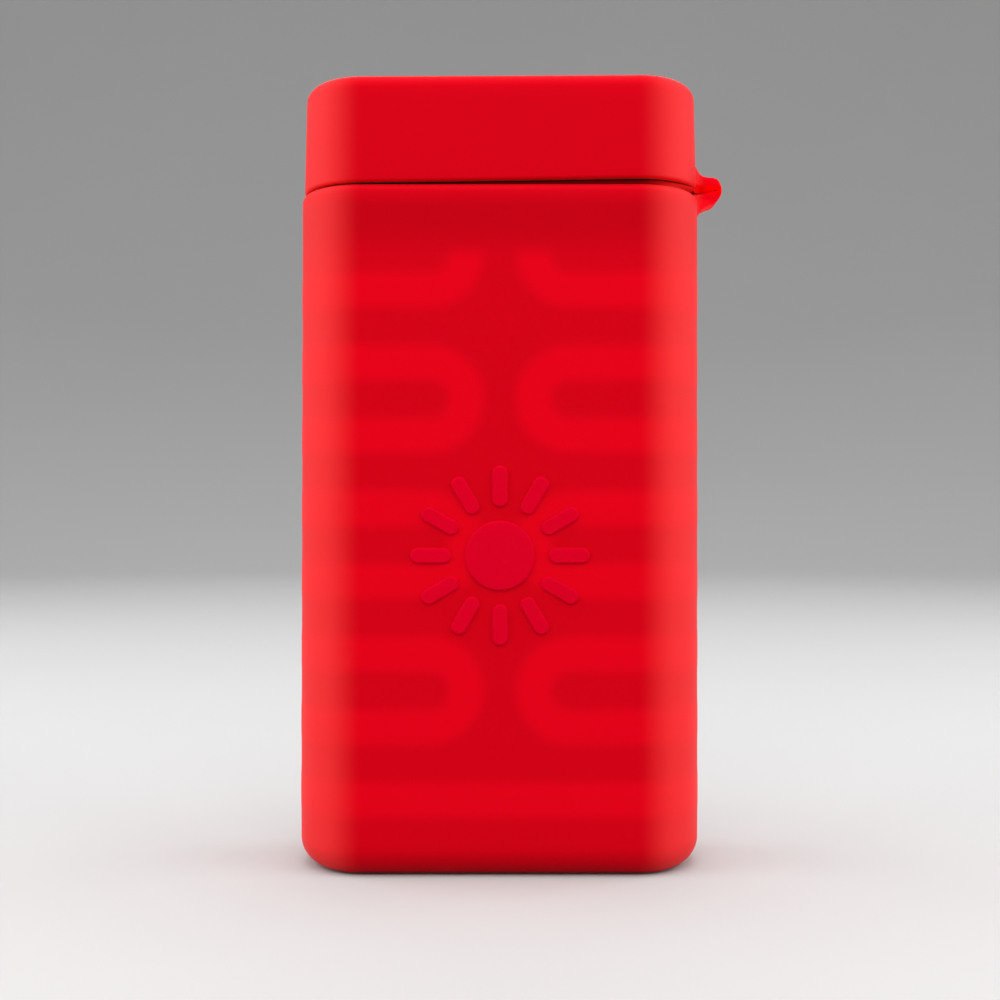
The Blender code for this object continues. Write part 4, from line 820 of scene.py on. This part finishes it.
# The faces of the hinge's fold in (x, z), in millimetres, each first on the sleeve's half and then on the
# cap's. Their ends lie inside the walls, and no point lies between the halves.
FOLD_OUTSIDE = (
    (
        (27.90, 93.4), (28.72, 94.0), (28.93, 94.6), (29.28, 95.3), (29.90, 95.85), (30.70, 96.20),
        (31.42, 96.48), (31.96, 96.95), (32.30, 97.50), (32.47, 97.92), (32.53, 98.25),
    ),
    (
        (32.53, 98.71), (32.47, 99.05), (32.29, 99.60), (31.95, 100.05), (31.45, 100.29), (30.90, 100.36),
        (30.35, 100.40), (29.76, 100.55), (29.25, 100.92), (28.95, 101.3), (28.70, 101.7), (27.90, 102.3),
    ),
)
FOLD_INSIDE = (
    (
        (27.90, 96.4), (28.00, 96.90), (28.18, 97.26), (28.48, 97.50), (28.94, 97.70), (29.60, 97.862),
        (30.20, 97.979), (30.80, 98.097), (31.30, 98.195), (31.60, 98.254), (31.78, 98.29),
    ),
    (
        (31.78, 98.40), (31.55, 98.364), (31.25, 98.305), (30.80, 98.217), (30.20, 98.099), (29.60, 97.982),
        (29.20, 97.905), (28.75, 97.825), (28.40, 97.84), (28.16, 98.05), (28.00, 98.5), (27.90, 99.0),
    ),
)
# Where the side of the sleeve is, in millimetres, in the drawing of the fold
DRAWN_WALL = 28.89


class HANDWARMER_OT_hinge(Operator):
    """Builds the living hinge, a folded band between the sleeve and the cap"""

    bl_idname = "hand_warmer.hinge"
    bl_label = "Hinge band"

    def execute(self, context):
        sizes = context.scene.warmer_sizes
        finish = hinge_finish("hinge_silicone")
        band = add_piece("hinge_band", skin_mesh("hinge_band", self.rings(sizes)), finish)
        # The fold's closed faces lie along a line that rises to the hinge's axis
        rise, run = 0.039 * MM, 0.0077 * MM
        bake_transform(band)
        # A thin web on the lower leg fills the fold along the same line
        inner_end = (HINGE_AXIS.x - 0.72 * MM, 0.0, HINGE_AXIS.z - 0.141 * MM)
        outer_end = (HINGE_AXIS.x - 4.3 * MM, 0.0, HINGE_AXIS.z - 0.843 * MM)
        half_width = sizes.hinge_half_width - 0.03 * MM
        mesh = blade_mesh(outer_end, inner_end, (0.0, half_width, 0.0), (-0.4 * rise, 0.0, 2.0 * rise))
        web = add_piece("hinge_web", mesh, finish)
        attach(web, "warmer")
        return {"FINISHED"}

    def rings(self, sizes):
        """Rings of points about the places along the fold. On one half of the band a ring has the outer face,
        a rounded corner, a bevelled corner and the inner face, each place of it given by its depth from the
        outer face and its distance y from the band's middle, and the other half mirrors it."""
        outer, inner = (
            np.concatenate([smooth_path(half, 140) for half in face]) for face in (FOLD_OUTSIDE, FOLD_INSIDE)
        )
        across = inner - outer
        thick = np.linalg.norm(across, axis=1)[:, None]
        way = across / thick
        share = (np.arange(9) + 0.5) / 9.0
        turn = np.linspace(0.0, 0.5 * np.pi, 8)
        bevel = np.linspace(0.0, 1.0, 7)
        rounding = np.minimum(0.75, 0.5 * thick)
        bevel_depth, bevel_width = np.minimum(0.5, 0.35 * thick), 0.1
        face = np.zeros((len(thick), len(share)))
        depth = np.concatenate(
            (face, rounding * (1.0 - np.cos(turn)), thick - bevel_depth * (1.0 - bevel), face + thick),
            axis=1,
        )
        x = outer[:, 0, None] + way[:, 0, None] * depth
        z = outer[:, 1, None] + way[:, 1, None] * depth
        # The band's edges flare into the walls along a quarter ellipse
        flare, flare_start, flare_run = 1.8, 28.5, 0.9
        clear = 1.0 - np.clip((x - flare_start) / flare_run, 0.0, 1.0)
        half_width = sizes.hinge_half_width / MM + flare * (1.0 - np.sqrt(1.0 - clear**2))
        outer_width, round_width, bevelled, inner_width = np.split(half_width, (9, 17, 24), axis=1)
        y = np.concatenate(
            (
                outer_width * share * (1.0 - rounding / outer_width[:, :1]),
                round_width - rounding * (1.0 - np.sin(turn)),
                bevelled - bevel_width * bevel**2,
                inner_width * share[::-1] * (1.0 - bevel_width / inner_width[:, -1:]),
            ),
            axis=1,
        )
        x, z = (np.concatenate((half, half[:, ::-1]), axis=1) for half in (x, z))
        y = np.concatenate((y, -y[:, ::-1]), axis=1)
        # The walls bulge between the band's edges, and the band's ends follow them
        flat, half_depth, side_round = (
            size / MM for size in (sizes.side_flat, HALF_DEPTH, sizes.side_round)
        )
        slope = np.maximum(np.abs(y) - flat, 0.0) / (half_depth - flat)
        wall = HALF_WIDTH / MM - side_round * (1.0 - np.sqrt(1.0 - slope**2))
        at_wall, clear_of_wall = 28.6, 31.0
        x = x + (wall - DRAWN_WALL) * (1.0 - smooth_share(x, at_wall, clear_of_wall))
        points = MM * np.stack((x, y, z), axis=-1)
        ends = np.repeat(points.mean(axis=1)[[0, -1]][:, None], points.shape[1], axis=1)
        return np.concatenate((ends[:1], points, ends[1:]))


class HANDWARMER_OT_sun(Operator):
    """Builds the raised sun on the sleeve's front: a disc and rays with rounded edges and a fillet"""

    bl_idname = "hand_warmer.sun"
    bl_label = "Raised sun"

    def execute(self, context):
        sizes, colours = context.scene.warmer_sizes, context.scene.warmer_colours
        fillet, rounding = 0.14 * MM, 0.15 * MM
        up = np.radians(np.linspace(0.0, 90.0, 6))
        foot = np.stack((fillet * (1.0 - np.sin(up)), fillet * (1.0 - np.cos(up))), axis=1)
        top = np.stack(
            (rounding * (np.cos(up) - 1.0), sizes.sun_relief - rounding * (1.0 - np.sin(up))), axis=1
        )
        sunk = np.array([[fillet + 0.35 * MM, -0.3 * MM], [fillet + 0.12 * MM, -0.03 * MM]])
        edge = np.concatenate((sunk, foot, top))
        disc, rays, ray_half, ray_start, ray_length = 4.8 * MM, 12, 1.0 * MM, 6.9 * MM, 5.6 * MM
        meshes = [self.bar(sizes, edge, disc, 96)]
        for i in range(rays):
            turn = math.radians(360.0 / rays * i)
            meshes.append(
                self.bar(
                    sizes, edge, ray_half, 48, ray_start + ray_half, ray_length - 2 * ray_half, turn
                )
            )
        mesh = joined_mesh("raised_sun", meshes, 0.002 * MM)
        sun = add_piece("raised_sun", mesh, sun_finish("sun_silicone", colours))
        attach(sun, "warmer")
        return {"FINISHED"}

    def bar(self, sizes, edge, radius, count, start=0.0, run=0.0, turn=0.0):
        """A round-ended bar in relief. Its outline is the circle of radius + offset about either end of its
        middle line, each row of edge giving an (offset, height), and flat rows then close its top."""
        angle = np.linspace(0.0, 2.0 * np.pi, count, endpoint=False)
        end = start + np.where(np.cos(angle) > 0.0, run, 0.0)
        flat = np.linspace(edge[-1, 0], -0.96 * radius, 6)[1:]
        level = np.full(len(flat), sizes.sun_relief)
        rows = np.concatenate((edge, np.stack((flat, level), axis=1)))
        reach = radius + rows[:, 0, None]
        along = end + reach * np.cos(angle)
        across = reach * np.sin(angle)
        x = along * math.cos(turn) - across * math.sin(turn)
        z = sizes.sun_centre + along * math.sin(turn) + across * math.cos(turn)
        front = np.stack((x, np.full_like(x, -HALF_DEPTH), z), axis=-1)
        y = -HALF_DEPTH - skin_swell(sizes, front, 1.0) - rows[:, 1, None]
        points = np.stack((x, y, z), axis=-1)
        # The back, sunk in the sleeve's wall, and the middles of the back and of the top as the poles
        back = np.stack((x[:1], np.full_like(x[:1], -HALF_DEPTH + 0.35 * MM), z[:1]), axis=-1)
        pole = np.repeat(back.mean(axis=1, keepdims=True), count, axis=1)
        tip = np.repeat(points[-1:].mean(axis=1, keepdims=True), count, axis=1)
        return skin_mesh("bar", np.concatenate((pole, back, points, tip)))


class HANDWARMER_OT_head(Operator):
    """Builds a fine skin over the rounded head of the port housing, round its level top"""

    bl_idname = "hand_warmer.head"
    bl_label = "Housing head"

    def execute(self, context):
        sizes, colours = context.scene.warmer_sizes, context.scene.warmer_colours
        top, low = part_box("port_housing")[1].z + 0.015 * MM, 96.2 * MM
        inset, rounding, depth = sizes.head_inset, 3.02 * MM, 0.4 * MM
        centre = inset + rounding, top - rounding
        # A ring in section: tucked in under the level top, over the rounded edge, down and back up inside
        tucked = (
            (centre[0] + 0.16 * MM, top - 0.2 * MM, 1.0), (centre[0] + 0.12 * MM, top - 0.03 * MM, 1.0)
        )
        over = curve_rows(centre, rounding, 88.0, 180.0, 24)
        down = straight_rows((inset, top - rounding), (inset, low), 24)
        foot = straight_rows((inset, low), (inset + depth, low), 1)
        back = curve_rows(centre, rounding - depth, 180.0, 92.0, 12)
        points = outline_surface(sizes, np.concatenate((tucked, over, down, foot, back)))
        faces = grid_faces(*points.shape[:2], ring=True)[:, ::-1]
        mesh = smooth_mesh("housing_head_skin", points, faces.tolist())
        finish = moulded_finish("head_plastic", colours.housing, *HOUSING_TEXTURE)
        head = add_piece("housing_head_skin", mesh, finish)
        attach(head, "warmer")
        return {"FINISHED"}


class HANDWARMER_OT_contacts(Operator):
    """Builds the gold contacts on the tongues of both sockets"""

    bl_idname = "hand_warmer.contacts"
    bl_label = "Socket contacts"

    def execute(self, context):
        gold = metal_finish("contact_gold", (0.83, 0.60, 0.26), 0.22, (1.0, 1.0, 0.15), 6.0, 0.001 * MM)
        # Four wide contacts on the front of the USB-A tongue
        low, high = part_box("usb_a_tongue")
        middle, y = (low.x + high.x) / 2, low.y + 2.58 * MM
        foot, head, pitch = high.z - 7.6 * MM, high.z - 0.7 * MM, 2.3 * MM
        across, through = (0.55 * MM, 0.0, 0.0), (0.0, 0.12 * MM, 0.0)
        for i in range(4):
            x = middle + (i - 1.5) * pitch
            mesh = blade_mesh((x, y, foot), (x, y, head), across, through)
            self.plated(f"usb_a_contact_{i + 1}", mesh, gold)
        # Twelve narrow contacts on the front and on the rear of the USB-C tongue
        low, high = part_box("usb_c_tongue")
        middle = (low.x + high.x) / 2
        foot, head, pitch = high.z - 3.6 * MM, high.z - 0.5 * MM, 0.5 * MM
        across, through = (0.14 * MM, 0.0, 0.0), (0.0, 0.04 * MM, 0.0)
        for side, word in ((-1.0, "front"), (1.0, "rear")):
            y = (low.y + high.y) / 2 + side * 0.36 * MM
            places = [middle + (i - 5.5) * pitch for i in range(12)]
            meshes = [blade_mesh((x, y, foot), (x, y, head), across, through) for x in places]
            name = f"usb_c_contacts_{word}"
            self.plated(name, joined_mesh(name, meshes, 0.001 * MM), gold)
        return {"FINISHED"}

    def plated(self, name, mesh, gold):
        piece = add_piece(name, mesh, gold)
        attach(piece, "warmer")


class HANDWARMER_OT_finishes(Operator):
    """Gives every piece of the frame that stays its finish"""

    bl_idname = "hand_warmer.finishes"
    bl_label = "Finishes"

    def execute(self, context):
        colours = context.scene.warmer_colours
        housing = moulded_finish("housing_plastic", colours.housing, *HOUSING_TEXTURE)
        socket = moulded_finish("socket_plastic", (0.012, 0.012, 0.013), 0.42, 0.004 * MM, 6.0)
        frame_plastic = moulded_finish("frame_plastic", (0.66, 0.66, 0.63), 0.48, 0.010 * MM, 3.0)
        light_body = moulded_finish("led_body", (0.80, 0.74, 0.50), 0.35, 0.003 * MM, 6.0)
        ferrite = moulded_finish("ferrite", (0.055, 0.055, 0.06), 0.62, 0.020 * MM, 7.0)
        shell = shell_finish("shell_alloy", colours.shell)
        steel = metal_finish("plated_steel", (0.62, 0.61, 0.58), 0.26, (1.0, 1.0, 0.12))
        nickel = metal_finish("nickel_strip", (0.58, 0.55, 0.48), 0.30, (0.08, 1.0, 1.0))
        screws = metal_finish("screw_steel", (0.50, 0.49, 0.47), 0.34, (1.0, 1.0, 1.0), 7.0)
        wearers = (
            (housing, "port_housing", "base_cap"),
            (shell, "front_shell", "rear_shell"),
            (steel, "usb_a_shell", "usb_c_shell", "smoothing_capacitor"),
            (socket, "usb_a_tongue", "usb_c_tongue", "button_switch", "charge_chip", "temperature_sensor"),
            (button_finish("button_plastic", (0.030, 0.030, 0.032)), "power_button"),
            (frame_plastic, "switch_plunger", "battery_tray"),
            (ferrite, "boost_coil"),
            (clear_finish("clear_plastic"), "light_guide"),
            (board_finish("circuit_board"), "main_board"),
            (nickel, "cell_link_top", "cell_link_bottom"),
            (wire_finish("red_wire", (0.45, 0.012, 0.012)), "positive_lead"),
            (wire_finish("black_wire", (0.015, 0.015, 0.016)), "negative_lead"),
            (
                wire_finish("white_wire", (0.68, 0.68, 0.65)),
                "front_heater_lead", "rear_heater_lead", "sensor_lead",
            ),
            (wrap_finish("cell_wrap"), "battery_cell_left", "battery_cell_right"),
            (film_finish("heating_film"), "front_heating_film", "rear_heating_film"),
            (felt_finish("felt"), "front_insulating_pad", "rear_insulating_pad"),
            (light_body, *(f"indicator_led_{i}" for i in range(1, 5))),
            (screws, "base_screw_left", "base_screw_right", "board_screw_left", "board_screw_right"),
        )
        for finish, *names in wearers:
            for name in names:
                materials = frame["nodes"][name].data.materials
                materials.clear()
                materials.append(finish)
        return {"FINISHED"}


class HANDWARMER_OT_stage(Operator):
    """Builds the studio: a pale round sweep, soft lights all round, and the level camera in front"""

    bl_idname = "hand_warmer.stage"
    bl_label = "Stage"

    def execute(self, context):
        scene = context.scene
        self.lay_sweep(scene.warmer_colours)
        self.hang_lights(scene)
        world = bpy.data.worlds.new("studio")
        scene.world = world
        world.use_nodes = True
        background = world.node_tree.nodes["Background"]
        background.inputs["Color"].default_value = (1.0, 1.0, 1.0, 1.0)
        background.inputs["Strength"].default_value = scene.warmer_studio.ambient
        self.set_camera(scene)
        return {"FINISHED"}

    def lay_sweep(self, colours):
        """A bowl: level out to flat, then a quarter circle of radius bend, then upright."""
        flat, bend, height = 1.0, 0.8, 0.2
        angle = np.linspace(0.0, 2.0 * np.pi, 128, endpoint=False)
        turn = np.radians(np.linspace(0.0, 90.0, 24))
        reach = np.concatenate(([0.0], np.linspace(0.1, flat, 8), flat + bend * np.sin(turn), [flat + bend]))
        rise = np.concatenate((np.zeros(9), bend * (1.0 - np.cos(turn)), [bend + height]))
        x, y = reach[:, None] * np.cos(angle), reach[:, None] * np.sin(angle)
        points = np.stack((x, y, np.broadcast_to(rise[:, None], x.shape)), axis=-1)
        bowl = smooth_mesh("bowl", points, grid_faces(*x.shape).tolist())
        mesh = joined_mesh("sweep", [bowl], MM)
        paper = Finish("studio_paper", specular_ior_level=0.1)
        tooth = paper.noise(0.8, 3.0)
        tone = paper.mix(colours.floor, dimmed(colours.floor, 0.96), paper.noise(0.004))
        add_piece("sweep", mesh, paper.close(tone, 0.9, tooth, 0.02 * MM, 0.3))

    def hang_lights(self, scene):
        """Soft lights, each with its place, its two sides and its power, turned to the warmer's middle."""
        studio = scene.warmer_studio
        middle = Vector((0.0, 0.0, RIM_HEIGHT / 2))
        lights = (
            ("front_light", (0.0, -0.9, 0.9), (0.9, 0.6), studio.front_light),
            ("left_light", (-0.53, -0.06, 0.25), (0.9, 0.7), studio.side_light),
            ("right_light", (0.53, -0.06, 0.25), (0.9, 0.7), studio.side_light),
            ("back_light", (0.0, 0.9, 0.9), (0.9, 0.6), studio.back_light),
            ("top_light", (0.0, 0.0, 0.9), (0.7, 0.7), studio.top_light),
        )
        for name, place, sides, power in lights:
            lamp = bpy.data.lights.new(name, "AREA")
            lamp.shape = "RECTANGLE"
            lamp.size, lamp.size_y = sides
            lamp.energy = power
            held = bpy.data.objects.new(name, lamp)
            held.location = place
            held.rotation_euler = (middle - held.location).to_track_quat("-Z", "Y").to_euler()
            held.visible_camera = False
            scene.collection.objects.link(held)

    def set_camera(self, scene):
        studio = scene.warmer_studio
        lens = bpy.data.cameras.new("camera")
        lens.lens = studio.lens
        lens.sensor_width = 36.0
        lens.clip_start, lens.clip_end = 0.01, 20.0
        camera = bpy.data.objects.new("camera", lens)
        camera.location = (0.0, -studio.camera_distance, studio.camera_height)
        camera.rotation_euler = (math.radians(90.0), 0.0, 0.0)
        scene.collection.objects.link(camera)
        scene.camera = camera
        scene.view_settings.view_transform = "Standard"


class HANDWARMER_PT_looks(Panel):
    """Lists the steps that build the hand warmer's looks"""

    bl_label = "Hand Warmer"
    bl_idname = "HANDWARMER_PT_looks"
    bl_space_type = "VIEW_3D"
    bl_region_type = "UI"
    bl_category = "Hand Warmer"

    def draw(self, context):
        layout, scene = self.layout, context.scene
        for step in STEPS:
            layout.operator(step.bl_idname)
        for group in (scene.warmer_sizes, scene.warmer_colours, scene.warmer_studio):
            box = layout.box()
            for name in group.__annotations__:
                box.prop(group, name)


STEPS = (
    HANDWARMER_OT_sleeve,
    HANDWARMER_OT_cap,
    HANDWARMER_OT_hinge,
    HANDWARMER_OT_sun,
    HANDWARMER_OT_head,
    HANDWARMER_OT_contacts,
    HANDWARMER_OT_finishes,
    HANDWARMER_OT_stage,
)
GROUPS = (HandWarmerSizes, HandWarmerColours, HandWarmerStudio)


def register():
    for made in GROUPS + STEPS + (HANDWARMER_PT_looks,):
        bpy.utils.register_class(made)
    bpy.types.Scene.warmer_sizes = PointerProperty(type=HandWarmerSizes)
    bpy.types.Scene.warmer_colours = PointerProperty(type=HandWarmerColours)
    bpy.types.Scene.warmer_studio = PointerProperty(type=HandWarmerStudio)


def unregister():
    del bpy.types.Scene.warmer_studio
    del bpy.types.Scene.warmer_colours
    del bpy.types.Scene.warmer_sizes
    for made in reversed(GROUPS + STEPS + (HANDWARMER_PT_looks,)):
        bpy.utils.unregister_class(made)


def main():
    register()
    for step in STEPS:
        group, name = step.bl_idname.split(".")
        getattr(getattr(bpy.ops, group), name)()


if __name__ == "__main__":
    main()
